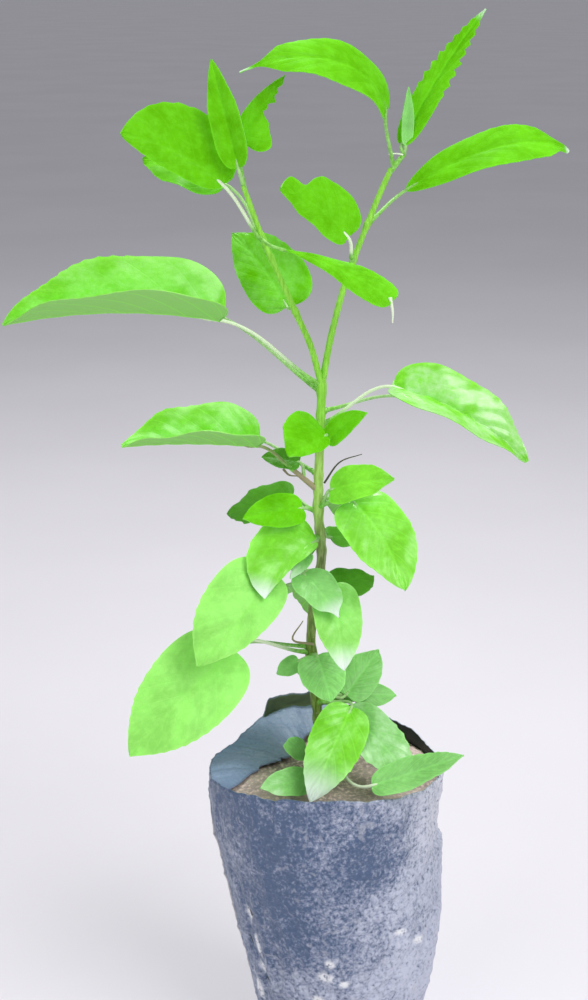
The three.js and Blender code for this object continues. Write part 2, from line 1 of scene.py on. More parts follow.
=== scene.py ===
"""Looks of the potted hibiscus shrub: film, soil, stem, stalks and leaves built round its CAD frame."""

import math

import bpy
import numpy as np
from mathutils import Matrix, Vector


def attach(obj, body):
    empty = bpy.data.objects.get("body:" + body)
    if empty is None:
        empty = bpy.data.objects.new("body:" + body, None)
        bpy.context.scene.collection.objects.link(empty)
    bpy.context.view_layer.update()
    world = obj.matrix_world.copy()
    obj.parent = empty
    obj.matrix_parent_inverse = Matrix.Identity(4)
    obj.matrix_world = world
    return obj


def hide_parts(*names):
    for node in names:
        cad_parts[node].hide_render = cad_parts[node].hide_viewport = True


bl_info = {
    "name": "Potted hibiscus shrub",
    "version": (1, 0, 0),
    "blender": (4, 5, 0),
    "location": "3D View > Sidebar > Shrub",
    "description": "Builds a young hibiscus shrub in its nursery bag",
    "category": "Add Mesh",
}

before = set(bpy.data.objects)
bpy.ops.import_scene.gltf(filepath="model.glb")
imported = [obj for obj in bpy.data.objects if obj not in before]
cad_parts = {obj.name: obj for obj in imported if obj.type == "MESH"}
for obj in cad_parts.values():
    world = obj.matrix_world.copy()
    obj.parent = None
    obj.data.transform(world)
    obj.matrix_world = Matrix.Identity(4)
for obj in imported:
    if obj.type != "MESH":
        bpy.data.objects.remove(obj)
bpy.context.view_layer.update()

MM = 0.001

# The bag and its soil, in millimetres, as in the CAD part
FILM_THICKNESS = 0.8
SOIL_GAP = 0.3  # from the soil to the film
RIM_HEIGHT = 142.5
RIM_WAVE = 3.5
SOIL_LEVEL = 135.5
SOIL_EDGE = 134.5
SOIL_BUMP = 1.0
FOOT_ROUND = 5.0
WRINKLE = 0.8
WRINKLE_COUNT = 11
# Height, radius and sideways shift of the centre
BAG_RINGS = (
    (0, 32, 0),
    (26, 35.5, 2),
    (50, 40, 2.5),
    (75, 44, 1),
    (95, 46, -1.5),
    (122, 48.5, -4.5),
    (160, 49, -5.5),
)
WALL_SMOOTHING = (-6, -3, 0, 3, 6)
FOLD_HEADING = 146
FOLD_EDGE = 22.0
FOLD_PULL = 5.0
FOLD_PULL_SPREAD = 36
PULL_START = 112.0
RIM_LIP = 1.6
RIM_ROUND = 0.4
RIM_DROP = 3.0  # the inner side of the rim falls away at once
RIM_TURN = 0.3  # the fold starts this far below the rim
UNDER_DROP = 2.4  # and joins the inside wall this far below it
FLOOR_THICKNESS = 2.0
FOLD_CLEAR = 2.4
# At the back the film stands up over its fold, so that its inner side shows
STAND_HEADINGS = (92, 121)
STAND_HEIGHT = 7.0
STAND_DIP = 1.6
BARE_HEADING = 320  # from here to the standing end the rim has no fold, and its inside shows, painted dark as shade
# At the right the film is gathered above a step in its outline
STEP_HEADING = 356
STEP_SPREAD = 34
STEP_HEIGHT = 107.0
STEP_DEPTH = 2.6
STEP_PLEATS = 0.35
SEAM_HEADING = 188
SEAM_RISE = 1.1
BAG_STEPS = 420  # points round the film
WALL_ROWS = 150
FOOT_REACH = 24  # how far the foot's middle ring lies inside the wall
INSIDE_GAP = 0.2
WALL_RADIUS = 44  # turns a heading into millimetres along the wall
NOISE_RADIUS = 46  # the film's lumps are laid out on a cylinder of this radius
# Rows of rings: the foot, its round edge, the standing end, the fold and its underside, the wall
# behind it and the rest of the inside
FOOT_ROWS = 8
ROUND_ROWS = 7
STAND_ROWS = 8
FOLD_ROWS = 24
UNDER_ROWS = 14
BEHIND_ROWS = 12
INSIDE_ROWS = 16
SOIL_STEPS = 300
SOIL_ROWS = 110
# Creases in the film: heading and height of both ends, depth in mm, half width in mm
CREASES = (
    (206, 100, 214, 84, 1.6, 2.2),
    (214, 84, 207, 68, 1.5, 2.0),
    (207, 68, 216, 50, 1.6, 2.2),
    (216, 50, 205, 22, 1.4, 2.4),
    (222, 92, 226, 62, -1.1, 2.6),
    (226, 62, 221, 34, -1.0, 2.4),
    (285, 58, 304, 83, 1.1, 1.8),
    (298, 56, 322, 84, 1.2, 1.8),
    (314, 52, 338, 80, 1.2, 2.0),
    (300, 96, 330, 104, 0.9, 1.8),
    (262, 40, 290, 52, 0.9, 2.0),
    (40, 100, 62, 60, 1.2, 2.2),
    (75, 64, 66, 24, 1.2, 2.4),
    (120, 96, 136, 66, 1.3, 2.2),
    (150, 70, 141, 30, 1.3, 2.2),
)
# A darker stain on the film: its middle and how far it reaches
STAIN_PLACE = (17, -45, 121)
STAIN_REACH = 26
# White dirt on the film: heading, height, half width and half height in mm
DIRT = (
    (264, 71, 2.2, 2.0),
    (261, 64, 3.4, 2.4),
    (271, 61, 2.4, 1.6),
    (255, 52, 3.0, 1.6),
    (276, 48, 5.0, 1.6),
    (213, 84, 1.6, 6.5),
    (217, 69, 1.6, 6.0),
    (214, 57, 2.4, 3.5),
    (208, 44, 1.8, 6.0),
    (304, 82, 3.0, 1.4),
    (318, 74, 3.2, 1.6),
    (62, 58, 3.0, 2.0),
    (128, 70, 3.2, 2.2),
)

# The limbs
GROUND = 136.85
FORK_HEIGHT = 305
BOUGH_START = 301
FLARE_HEIGHT = 14.0
TRUNK_RADIUS = (2.1, 1.7)
TRUNK_FLARE = 2.8
TRUNK_BENDS = (
    (-6.5, 0, GROUND),
    (-8, 0.5, 160),
    (-11, 1, 191),
    (-10, 0.5, 210),
    (-7, 0, 230),
    (-8.3, 0, 251),
    (-7.8, 0, 280),
    (-7, 0, FORK_HEIGHT),
)
LEFT_BOUGH_RADIUS = (1.25, 0.95)
LEFT_BOUGH_BENDS = (
    (-7, 0, BOUGH_START),
    (-11.5, -2, 318),
    (-17.5, -4, 332),
    (-29.5, -8, 360),
    (-37, -12, 381),
)
RIGHT_BOUGH_RADIUS = (1.3, 1.05)
RIGHT_BOUGH_BENDS = (
    (-7, 0, BOUGH_START),
    (-4.8, 2, 315),
    (0, 5, 335),
    (4.8, 9, 349),
    (15, 14.5, 374),
    (19.6, 17, 384),
)

SHOOT_SWELLING = (0.3, 1.8)  # height and half length of a limb's swelling at each shoot
BARK_STEP = 0.55
TRUNK_SIDES = 56
BOUGH_SIDES = 40
BARK_STREAKS = 0.06
BARK_LUMPS = 0.10
SMOOTH_BARK = (225, 270)  # between these heights the bark turns smooth

# What all leaves share
STALK_RADIUS = (0.95, 0.7)
STALK_ARM = 0.35
STALK_END = 0.1  # the stalk runs on under this share of the midrib
SPUR_RADIUS = 1.3
SPUR_SINK = 0.98
SPUR_RING = (0.08, 2.2)  # height of the rings on a spur, and their distance
STALK_SIDES = 12
WIDEST = 0.34
SLENDER = 1.4
CURL = 0.12
TIP_WIDTH = 0.15
HEART_SLANT = -0.3
TIP_SLANT = 0.25
BITE_START = 0.2
BITE_END = 0.45
BITE_LEFT = 0.2
BITE_RIPPLE = 0.06
BITE_COUNT = 3.5
BITE_SCALLOP = 0.16
BITE_SCALLOPS = 8
LEAF_STEP = 0.8  # size of a blade's facets
VEIN_SPACING = 0.15  # share of the blade's length between side veins
VEIN_RISE = 0.3  # how far a side vein climbs on its way to the edge
TOOTH_LENGTH = 4.2
TOOTH_DEPTH = 0.035  # share of the half width
LEAF_WAVE = 0.9
PLAIN_VEINS = 0.25
PLAIN_GLOSS = 0.04
PLACE_STEP = 37.0  # sets every leaf's patches apart from the others'
PLAIN_STALK = 0.35
THIN_RIB = 0.55  # how far the midrib stands out beneath, in mm
RIB_HALF = 1.1  # half width of the midrib, in mm
DRIP_REACH = (0.74, 0.93)  # between these shares of the blade a drawn-out tip narrows
TEETH_START = (0.3, 0.5)  # between these its teeth set in
TEETH_END = (0.9, 1.0)
WAVE_COUNT = 2.6
HIGHLIGHT_FROM = 0.72
TOOTH_TURN = 0.13  # sets every leaf's teeth apart from the others'
WAVE_TURN = 0.37  # and its waves

# Every shoot: its limb, the height where it leaves, its spur and its leaves, as in the CAD part.
# spur, stalk and blade are a length in mm, a heading and a rise in degrees. start is the stalk's place
# on the spur. face is the heading and rise that the blade's upper side looks to. arch and sweep bend
# the blade down and sideways, fold lifts both halves, all in degrees, and early is how soon it arches.
# lop makes one half wider, and widest and slender give the outline.
# kind names the leaf's colour; the deep kind is painted shade, for leaves that lie in the shrub's shade. tip
# is how far its end whitens with a painted highlight, from highlight_from on. veins is how much its side
# veins show, gloss how much it shines, through its coat and through patches of painted sheen, teeth how
# deep they are and drip how thin its tip is drawn out. nick is a dent in the edge: its place, half length
# and depth. stalk_tone and spur_tone run from -1, tan, past 0, green, to 1, cream.
SHOOTS = (
    dict(name="leaves_right_tip", limb="right", height=384, continues=True, spur=(9, 15, 50), leaves=(
        dict(start=0.3, stalk=(24, 247, 66), blade=(64, 209, 15), width=21, face=(285, 42), arch=100,
             sweep=35, early=0.6, widest=0.3, fold=8, kind="vivid", tip=0.9, highlight_from=0.92, drip=0.75,
             stalk_tone=0.2),
        dict(stalk=(4, 200, 75), blade=(60, 14, 57), width=12, face=(250, 15), sweep=-14, lop=-0.1,
             fold=20, kind="vivid", teeth=0.4, veins=1.0, tip=0.7, highlight_from=0.9),
        dict(stalk=(4, 300, 70), blade=(22, 290, 86), width=6, face=(290, 0), fold=30, kind="cool"),
    )),
    dict(name="leaves_right_upper", limb="right", height=363, spur=(4, 47, 30), leaves=(
        dict(stalk=(22, 47, 25), blade=(69, 13, 11), width=18, face=(275, 45), arch=85, early=1.5,
             widest=0.55, slender=1.2, fold=10, kind="vivid", tip=0.9, highlight_from=0.94, drip=0.6,
             stalk_tone=0.2),
    )),
    dict(name="leaves_right_lower", limb="right", height=349, spur=(3, 256, 45), leaves=(
        dict(stalk=(9, 243, 68), blade=(35, 206, 35), width=21, face=(290, 25), sweep=34, lop=-0.3,
             fold=5, kind="vivid", stalk_tone=1.0, nick=(0.7, 0.11, 0.5), slender=1.1),
    )),
    dict(name="leaves_left_tip", limb="left", height=381, continues=True, spur=(12, 200, 78), leaves=(
        dict(stalk=(8, 69, 80), blade=(28, 20, 50), width=17, face=(280, 10), lop=-0.5, fold=5,
             bitten=True, kind="vivid"),
        dict(start=0.1, stalk=(8, 232, 66), blade=(40, 167, 76), width=13.5, face=(250, 5), fold=20,
             kind="vivid"),
    )),
    dict(name="leaves_left_middle", limb="left", height=360, spur=(3, 190, 40), leaves=(
        dict(stalk=(23, 185, 56), blade=(42, 188, 27), width=25, face=(280, 5), sweep=36, lop=-0.4,
             widest=0.42, slender=1.4, fold=5, kind="vivid", stalk_tone=1.0),
        dict(stalk=(9, 325, -25), blade=(49, 343, -21), width=13, face=(285, 40), sweep=-28,
             widest=0.8, slender=2.2, kind="vivid", stalk_tone=0.1),
    )),
    dict(name="leaves_left_lower", limb="left", height=332, spur=(3, 110, 20), leaves=(
        dict(stalk=(4, 125, -5), blade=(42, 130, 36), width=26, face=(275, 15), sweep=20, lop=-0.12,
             fold=5, kind="vivid", gloss=0.35),
    )),
    dict(name="leaves_fork_left", limb="trunk", height=302, spur=(4, 195, 30), leaves=(
        dict(stalk=(45, 194, 35), blade=(82, 187, 0), width=49, face=(280, 70), arch=26, fold=55,
             kind="bright", stalk_tone=0.7, gloss=0.5),
    )),
    dict(name="leaves_upper_right", limb="trunk", height=284, spur=(4, 30, 45), leaves=(
        dict(stalk=(30, 5, 27), blade=(60, 350, -28), width=30, face=(265, 60), arch=50, fold=32,
             kind="bright", stalk_tone=0.7, gloss=1.4, veins=0.5),
    )),
    dict(name="leaves_side_shoot", limb="trunk", height=259, spur=(14, 195, 42), spur_tone=-1.0, leaves=(
        dict(stalk=(19, 203, 37), blade=(54, 198, 4.5), width=35, face=(283, 70), arch=12, fold=54,
             kind="bright", stalk_tone=-0.6, gloss=0.6, veins=0.5),
        dict(start=0.55, stalk=(7, 150, 70), blade=(15, 177, 8), width=10, face=(280, 48), arch=20,
             fold=15, kind="deep"),
    )),
    dict(name="leaves_upper_front", limb="trunk", height=279, spur=(4, 280, 30), leaves=(
        dict(stalk=(6, 290, 30), blade=(25, 234, -7), width=18.5, face=(290, 35), arch=30, lop=-0.5,
             fold=5, kind="vivid"),
        dict(stalk=(3, 331, -20), blade=(20.5, 344, 40), width=10, face=(260, 30), sweep=-40, fold=20,
             kind="vivid"),
    )),
    dict(name="leaves_middle_right", limb="trunk", height=252, spur=(4, 300, 30), leaves=(
        dict(stalk=(8, 320, 60), blade=(28, 335, 16), width=17, face=(270, 45), arch=30, fold=10,
             kind="bright"),
        dict(stalk=(13, 335, 15), blade=(44, 306, -39), width=27, face=(285, 25), arch=25, sweep=-22,
             fold=8, kind="bright", veins=0.7, gloss=0.4),
    )),
    dict(name="leaves_middle_left", limb="trunk", height=250, spur=(4, 190, 25), leaves=(
        dict(stalk=(10, 136, 13), blade=(31, 156, -20), width=20, face=(275, 55), arch=20, fold=8,
             kind="deep", teeth=0.12),
        dict(stalk=(4, 226, 15), blade=(26, 205, -2), width=15, face=(275, 40), arch=25, fold=8,
             kind="vivid"),
    )),
    dict(name="leaves_lower_left", limb="trunk", height=239, spur=(4, 235, 25), leaves=(
        dict(stalk=(4, 275, -9), blade=(34, 227, -29), width=21, face=(270, 35), arch=25, sweep=45,
             lop=-0.6, fold=8, kind="bright", tip=1.0, highlight_from=0.7, gloss=0.4),
        dict(stalk=(7, 230, -60), blade=(15, 234, -28), width=6, face=(285, 40), arch=10, fold=10,
             kind="cool", veins=1.0, tip=0.6, highlight_from=0.3),
    )),
    dict(name="leaves_lower_back", limb="trunk", height=243, spur=(3, 70, 5), leaves=(
        dict(stalk=(8, 50, -50), blade=(18, 40, -12), width=13, face=(270, 60), arch=20, fold=5,
             kind="deep"),
    )),
    dict(name="leaves_left_broad", limb="trunk", height=225, spur=(4, 226, 15), leaves=(
        dict(stalk=(22, 224, 9), blade=(48, 221, -36), width=29, face=(275, 30), arch=25, lop=-0.2,
             fold=8, kind="pale", stalk_tone=0.8),
    )),
    dict(name="leaves_right_broad", limb="trunk", height=218, spur=(4, 290, 30), leaves=(
        dict(stalk=(14, 235, 35), blade=(26, 305, -25), width=17, face=(285, 45), arch=25, fold=12,
             kind="cool", tip=1.0, highlight_from=0.6, drip=0.4, gloss=0.1),
        dict(stalk=(13, 293, 20), blade=(37, 279, -45), width=20, face=(280, 30), arch=20, fold=12,
             kind="pale", tip=1.0, highlight_from=0.66, gloss=0.4),
    )),
    dict(name="leaves_right_round", limb="trunk", height=217, spur=(3, 45, 10), leaves=(
        dict(stalk=(7, 42, -15), blade=(24, 45, -3), width=17, face=(265, 55), arch=15, fold=5,
             kind="deep"),
    )),
    dict(name="leaves_lowest_left", limb="trunk", height=189, spur=(4, 212, 20), leaves=(
        dict(stalk=(36, 211, 14), blade=(58, 217, -35), width=36, face=(280, 30), arch=30, fold=8,
             kind="pale", stalk_tone=1.0),
    )),
    dict(name="leaves_low_front", limb="trunk", height=188, spur=(4, 275, 20), leaves=(
        dict(stalk=(6, 290, 20), blade=(24, 285, -28), width=19, face=(270, 40), arch=20, fold=5,
             kind="cool", veins=1.0),
        dict(stalk=(6, 200, -15), blade=(11, 210, -20), width=8, face=(270, 35), arch=15, fold=5,
             kind="cool"),
    )),
    dict(name="leaves_low_right", limb="trunk", height=171, spur=(4, 35, -10), leaves=(
        dict(stalk=(11, 25, -15), blade=(26, 50, 30), width=17, face=(265, 30), arch=15, fold=5,
             kind="cool", veins=1.0),
        dict(stalk=(16, 30, -15), blade=(18, 10, -5), width=11, face=(265, 40), arch=15, fold=5,
             kind="cool", veins=1.0),
    )),
    dict(name="leaves_foot_front", limb="trunk", height=167, spur=(4, 310, 25), leaves=(
        dict(stalk=(15, 322, 5), blade=(43, 237, -43), width=22.5, face=(275, 40), arch=25, fold=8,
             kind="bright", tip=1.0, highlight_from=0.5, veins=1.0, teeth=0.05, gloss=0.5),
        dict(stalk=(11, 335, -10), blade=(42, 318, -30), width=22, face=(270, 60), arch=25, fold=8,
             kind="cool", veins=0.8, gloss=1.0, teeth=0.1),
    )),
    dict(name="leaves_foot_right", limb="trunk", height=149, spur=(4, 300, 5), leaves=(
        dict(stalk=(38, 299, -3), blade=(41, 342, 27), width=15, face=(265, 55), arch=-5, fold=12,
             kind="cool", stalk_tone=0.8, veins=1.0, teeth=0.07, gloss=0.2),
    )),
    dict(name="leaves_foot_left", limb="trunk", height=148, spur=(3, 250, 5), leaves=(
        dict(stalk=(8, 230, 10), blade=(13, 220, 25), width=10, face=(270, 40), arch=10, fold=5,
             kind="cool"),
        dict(stalk=(20, 262, -15), blade=(23, 206, 2), width=13, face=(270, 50), arch=15, fold=5,
             kind="cool", gloss=0.8),
    )),
    dict(name="leaves_back_bough", limb="left", height=353, spur=(3, 110, 20), leaves=(
        dict(stalk=(32, 148, 52), blade=(38, 152, 12), width=24, face=(290, 50), arch=25, fold=10,
             kind="vivid"),
    )),
    dict(name="leaves_back_fork", limb="trunk", height=299, spur=(4, 150, 30), leaves=(
        dict(stalk=(50, 157, 31), blade=(56, 155, 0), width=24, face=(290, 65), arch=35, fold=20,
             kind="bright"),
    )),
    dict(name="leaves_back_upper_right", limb="trunk", height=290, spur=(4, 50, 20), leaves=(
        dict(stalk=(36, 36, 1), blade=(56, 30, -24), width=28, face=(270, 70), arch=35, fold=20,
             kind="bright"),
    )),
    dict(name="leaves_back_side", limb="trunk", height=265, spur=(4, 140, 25), leaves=(
        dict(stalk=(30, 143, 17), blade=(42, 152, 0), width=18, face=(290, 65), arch=25, fold=15,
             kind="bright"),
    )),
    dict(name="leaves_back_right", limb="trunk", height=254, spur=(4, 60, 10), leaves=(
        dict(stalk=(20, 62, -20), blade=(45, 43, -44), width=30, face=(60, 40), arch=30, fold=8,
             kind="bright"),
    )),
    dict(name="leaves_back_middle", limb="trunk", height=234, spur=(4, 120, 10), leaves=(
        dict(stalk=(13, 117, -15), blade=(34, 129, -41), width=24, face=(110, 40), arch=25, fold=8,
             kind="deep"),
    )),
    dict(name="leaves_back_left", limb="trunk", height=221, spur=(4, 115, 0), leaves=(
        dict(stalk=(26, 118, -25), blade=(50, 144, -42), width=33, face=(130, 40), arch=30, fold=8,
             kind="pale"),
        dict(stalk=(12, 80, -40), blade=(36, 80, -45), width=24, face=(80, 30), arch=20, fold=8,
             kind="bright"),
    )),
    dict(name="leaves_back_lowest", limb="trunk", height=191, spur=(4, 140, 0), leaves=(
        dict(stalk=(35, 146, -12), blade=(56, 152, -42), width=36, face=(150, 40), arch=30, fold=8,
             kind="pale"),
    )),
    dict(name="leaves_back_low", limb="trunk", height=180, spur=(4, 80, 5), leaves=(
        dict(stalk=(11, 82, -16), blade=(31, 76, -43), width=23, face=(80, 40), arch=25, fold=8,
             kind="bright"),
    )),
    dict(name="leaves_back_foot", limb="trunk", height=160, spur=(4, 60, 5), leaves=(
        dict(stalk=(16, 60, 0), blade=(32, 48, -12), width=22, face=(70, 60), arch=25, fold=8,
             kind="deep"),
    )),
)
FOLIAGE = [shoot["name"] for shoot in SHOOTS]
# Colour kinds, with how bright each one reflects and how rough it is
KINDS = {"vivid": (0.06, 0.5), "bright": (0.14, 0.42), "pale": (0.14, 0.42), "cool": (0.25, 0.4),
         "deep": (0.12, 0.42)}
FIBRES = "fibres"  # name of the node group that bark and stalks share
# Small dry bits on the plant: start, bend and end in millimetres, radius and tone down to -2, black
BITS = (
    ((24.0, 16.0, 389.5), (21.5, 15.0, 390.0), (18.5, 14.5, 389.8), 0.35, 1.0),
    ((-22.3, -9.0, 270.5), (-20.0, -9.3, 268.2), (-16.8, -8.0, 267.3), 0.55, -1.5),
    ((-10.0, -2.0, 194.0), (-18.6, -5.5, 197.5), (-14.3, -4.0, 205.0), 0.6, -1.0),
    ((-6.0, -3.0, 263.0), (0.1, -5.0, 272.2), (8.7, -6.0, 275.7), 0.45, -2.0),
)
PALE_THREAD = (0.75, 8.5)  # radius and length of the thread that hangs from the long left leaf
THREAD_SHOOT = "leaves_left_middle"

# Fixed colours of the film: its fold, lighter and bluer with painted light, its seam, a painted highlight,
# dirt, its standing end and inside, both painted shade, and then its pale flecks, scratches and paler upper
# right
FOLD_LIGHT_COLOUR = (0.19, 0.29, 0.50, 1)
SEAM_HIGHLIGHT_COLOUR = (0.66, 0.60, 0.57, 1)
DIRT_COLOUR = (0.86, 0.86, 0.89, 1)
STANDING_SHADE_COLOUR = (0.10, 0.14, 0.06, 1)
INSIDE_SHADE_COLOUR = (0.012, 0.018, 0.012, 1)
WEAR_COLOURS = ((0.66, 0.67, 0.74, 1), (0.6, 0.6, 0.66, 1), (0.74, 0.74, 0.80, 1))
# Where the film turns paler, towards one side, its foot and its upper right, in metres: between two X or two
# Z, from none to full
PALER_SIDE = (-0.03, 0.052)
PALER_FOOT = (0.085, 0.05)
PALE_PATCH_SIDE = (0.022, 0.046)
PALE_PATCH_TOP = (0.098, 0.125)
# Scales of the film's noises, from the finest
GRAIN_SCALE = 620.0
FLECK_SCALE = 330.0
BLOT_SCALE = 150.0
SCUFF_SCALE = 110.0
BROAD_SCALE = 34.0
# Leaves turn to the first colour, a painted highlight, at their tip, and are blended with the second beneath
TIP_HIGHLIGHT_COLOUR = (0.86, 0.98, 0.88, 1)
UNDER_COLOUR = (0.34, 0.56, 0.24)
# Stalks are green, and turn cream, tan or black between two tones that the mesh gives
STALK_GREENS = ((0.16, 0.46, 0.04, 1), (0.28, 0.66, 0.12, 1))
STALK_TONES = (
    (0.0, 1.0, (0.80, 0.90, 0.66, 1)),
    (0.0, -1.0, (0.36, 0.30, 0.18, 1)),
    (-1.0, -2.0, (0.05, 0.06, 0.02, 1)),
)
# Bark has two shades at its foot. Higher up others take over between two heights, in metres
FOOT_BARK = ((0.09, 0.17, 0.015, 1), (0.24, 0.36, 0.06, 1))
OLIVE_BARK = (0.20, 0.235, (0.19, 0.24, 0.07, 1), (0.43, 0.49, 0.22, 1))
LIME_BARK = (0.24, 0.262, (0.30, 0.52, 0.08, 1), (0.46, 0.74, 0.18, 1))
FRESH_BARK = (0.282, 0.3, (0.22, 0.58, 0.035, 1), (0.33, 0.78, 0.08, 1))
PORE_COLOUR = (0.46, 0.43, 0.30, 1)

# The stage, in metres. Each lamp has its place, its size and its share of the key light
FLOOR_REACH = 30.0
LAMPS = (
    ("key", (0.7, -0.8, 1.2), 0.9, 1.0),
    ("sheen", (0.0, 0.5, 1.4), 0.4, 0.85),
    ("front", (-0.9, -1.1, 0.6), 1.0, 0.45),
)
LAMP_AIM = (0, 0, 0.25)
SKY_COLOUR = (0.93, 0.96, 1.0, 1)
SKY_STRENGTH = 0.36

# The camera of the photograph, in millimetres and degrees
CAMERA_PLACE = (-18, -666.5, 458.8)
CAMERA_PITCH = 17
CAMERA_LENS = 62.77
SENSOR = 36


def colour_setting(name, description, default):
    """A colour in the panel."""
    return bpy.props.FloatVectorProperty(
        name=name, description=description, subtype="COLOR", size=3, default=default)


def length_setting(name, description, default):
    """A length in the panel."""
    return bpy.props.FloatProperty(name=name, description=description, default=default, unit="LENGTH")


class ShrubSettings(bpy.types.PropertyGroup):
    """Sizes and colours of the shrub"""

    leaf_thickness: length_setting("Leaf thickness", "Thickness of a blade", 0.4 * MM)
    vein_relief: length_setting("Vein relief", "How far a blade swells between its veins", 0.16 * MM)
    vivid: colour_setting("Vivid leaves", "Colour of the leaves at the top", (0.15, 0.62, 0.001))
    bright: colour_setting("Bright leaves", "Colour of most leaves", (0.235, 0.79, 0.035))
    pale: colour_setting("Pale leaves", "Colour of the palest leaves", (0.34, 0.92, 0.15))
    # The deep colour is painted shade, for the leaves that lie in the shrub's shade
    deep: colour_setting("Deep leaves", "Colour of the darkest leaves", (0.095, 0.36, 0.02))
    cool: colour_setting("Cool leaves", "Colour of the bluish leaves near the soil", (0.27, 0.69, 0.17))


class PotSettings(bpy.types.PropertyGroup):
    """Sizes and colours of the bag and its soil"""

    film: colour_setting("Film", "Colour of the bag's film", (0.068, 0.112, 0.215))
    dust: colour_setting("Dust", "Colour of the specks on the film", (0.57, 0.60, 0.73))
    soil: colour_setting("Soil", "Colour of the soil", (0.68, 0.53, 0.49))
    crease: length_setting("Crease depth", "Depth of the creases in the film", 1.0 * MM)


class StageSettings(bpy.types.PropertyGroup):
    """Floor and lights"""

    floor: colour_setting("Floor", "Colour of the floor", (0.83, 0.80, 0.845))
    key: bpy.props.FloatProperty(
        name="Key light", description="Strength of the large soft lamp", default=12.0, unit="POWER")


def direction(heading, rise):
    """A unit vector from its heading round +Z and its rise above the level, in degrees."""
    turn = math.radians(heading)
    lift = math.radians(rise)
    return np.array([math.cos(lift) * math.cos(turn), math.cos(lift) * math.sin(turn), math.sin(lift)])


def unit(vectors):
    """Vectors of length one."""
    return vectors / np.linalg.norm(vectors, axis=-1, keepdims=True)


def smoothstep(value, low, high):
    """Rises smoothly from 0 at low to 1 at high."""
    share = np.clip((np.asarray(value, float) - low) / (high - low), 0, 1)
    return share * share * (3 - 2 * share)


def hump(heading, middle, spread):
    """A smooth hump of height 1 at the middle heading."""
    off = np.abs((np.asarray(heading, float) - middle + 180) % 360 - 180)
    return np.where(off >= spread, 0.0, 0.5 + 0.5 * np.cos(np.pi * off / spread))


def scatter(corners, seed):
    """A repeatable random number from 0 to 1 for every whole-numbered corner."""
    value = np.sin(corners @ np.array([127.1, 311.7, 74.7]) + seed * 53.3) * 43758.5453
    return value - np.floor(value)


def noise(points, size, seed=0):
    """Smooth noise from -1 to 1 whose lumps have about this size."""
    place = np.asarray(points, float) / size
    cell = np.floor(place)
    part = place - cell
    part = part * part * (3 - 2 * part)
    total = np.zeros(place.shape[:-1])
    for corner in np.ndindex(2, 2, 2):
        share = np.ones(place.shape[:-1])
        for axis, end in enumerate(corner):
            share = share * (part[..., axis] if end else 1 - part[..., axis])
        total += share * scatter(cell + np.array(corner), seed)
    return 2 * total - 1


def curve_through(bends, fine=80):
    """Closely spaced points of the centripetal curve through the bends."""
    bends = np.array(bends, float)
    points = np.vstack([2 * bends[0] - bends[1], bends, 2 * bends[-1] - bends[-2]])
    found = [bends[0]]
    for leg in range(len(bends) - 1):
        before, first, last, after = points[leg:leg + 4]
        steps = [max(np.linalg.norm(b - a) ** 0.5, 1e-6) for a, b in
                 ((before, first), (first, last), (last, after))]
        leave = (first - before) / steps[0] - (last - before) / (steps[0] + steps[1])
        leave = (leave + (last - first) / steps[1]) * steps[1]
        arrive = (last - first) / steps[1] - (after - first) / (steps[1] + steps[2])
        arrive = (arrive + (after - last) / steps[2]) * steps[1]
        for step in range(1, fine + 1):
            t = step / fine
            found.append(first + leave * t + (3 * (last - first) - 2 * leave - arrive) * t**2
                         + (2 * (first - last) + leave + arrive) * t**3)
    return np.array(found)


def lengths_along(points):
    """Length from the first point to each."""
    steps = np.linalg.norm(np.diff(points, axis=0), axis=1)
    return np.concatenate([[0], np.cumsum(steps)])


def spread_evenly(points, count):
    """The same line with evenly spaced points."""
    lengths = lengths_along(points)
    wanted = np.linspace(0, lengths[-1], count)
    return np.column_stack([np.interp(wanted, lengths, points[:, axis]) for axis in range(3)])


def at_share(points, share):
    """The point at a share of the line's length."""
    lengths = lengths_along(points)
    return np.array([np.interp(share * lengths[-1], lengths, points[:, axis]) for axis in range(3)])


def at_height(points, height):
    """The point of a rising line at a height."""
    return np.array([np.interp(height, points[:, 2], points[:, axis]) for axis in range(3)])


# The close line and the radius of every limb
LINES = {
    "trunk": curve_through(TRUNK_BENDS),
    "left": curve_through(LEFT_BOUGH_BENDS),
    "right": curve_through(RIGHT_BOUGH_BENDS),
}
LIMB_RADII = {"trunk": TRUNK_RADIUS, "left": LEFT_BOUGH_RADIUS, "right": RIGHT_BOUGH_RADIUS}


def frames_along(points):
    """Two directions square to a line at each of its points, which turn as little as they can."""
    tangents = unit(np.gradient(points, axis=0))
    first = np.cross(tangents[0], [0.0, 1.0, 0.0])
    if np.linalg.norm(first) < 0.2:
        first = np.cross(tangents[0], [1.0, 0.0, 0.0])
    normals = [unit(first)]
    for tangent in tangents[1:]:
        turned = normals[-1] - tangent * normals[-1].dot(tangent)
        normals.append(unit(turned))
    normals = np.array(normals)
    return normals, np.cross(tangents, normals)


def add_to_scene(name, data, place=(0, 0, 0), rotation=(0, 0, 0)):
    """Puts an object in the scene."""
    made = bpy.data.objects.new(name, data)
    made.location = place
    made.rotation_euler = rotation
    bpy.context.scene.collection.objects.link(made)
    return made


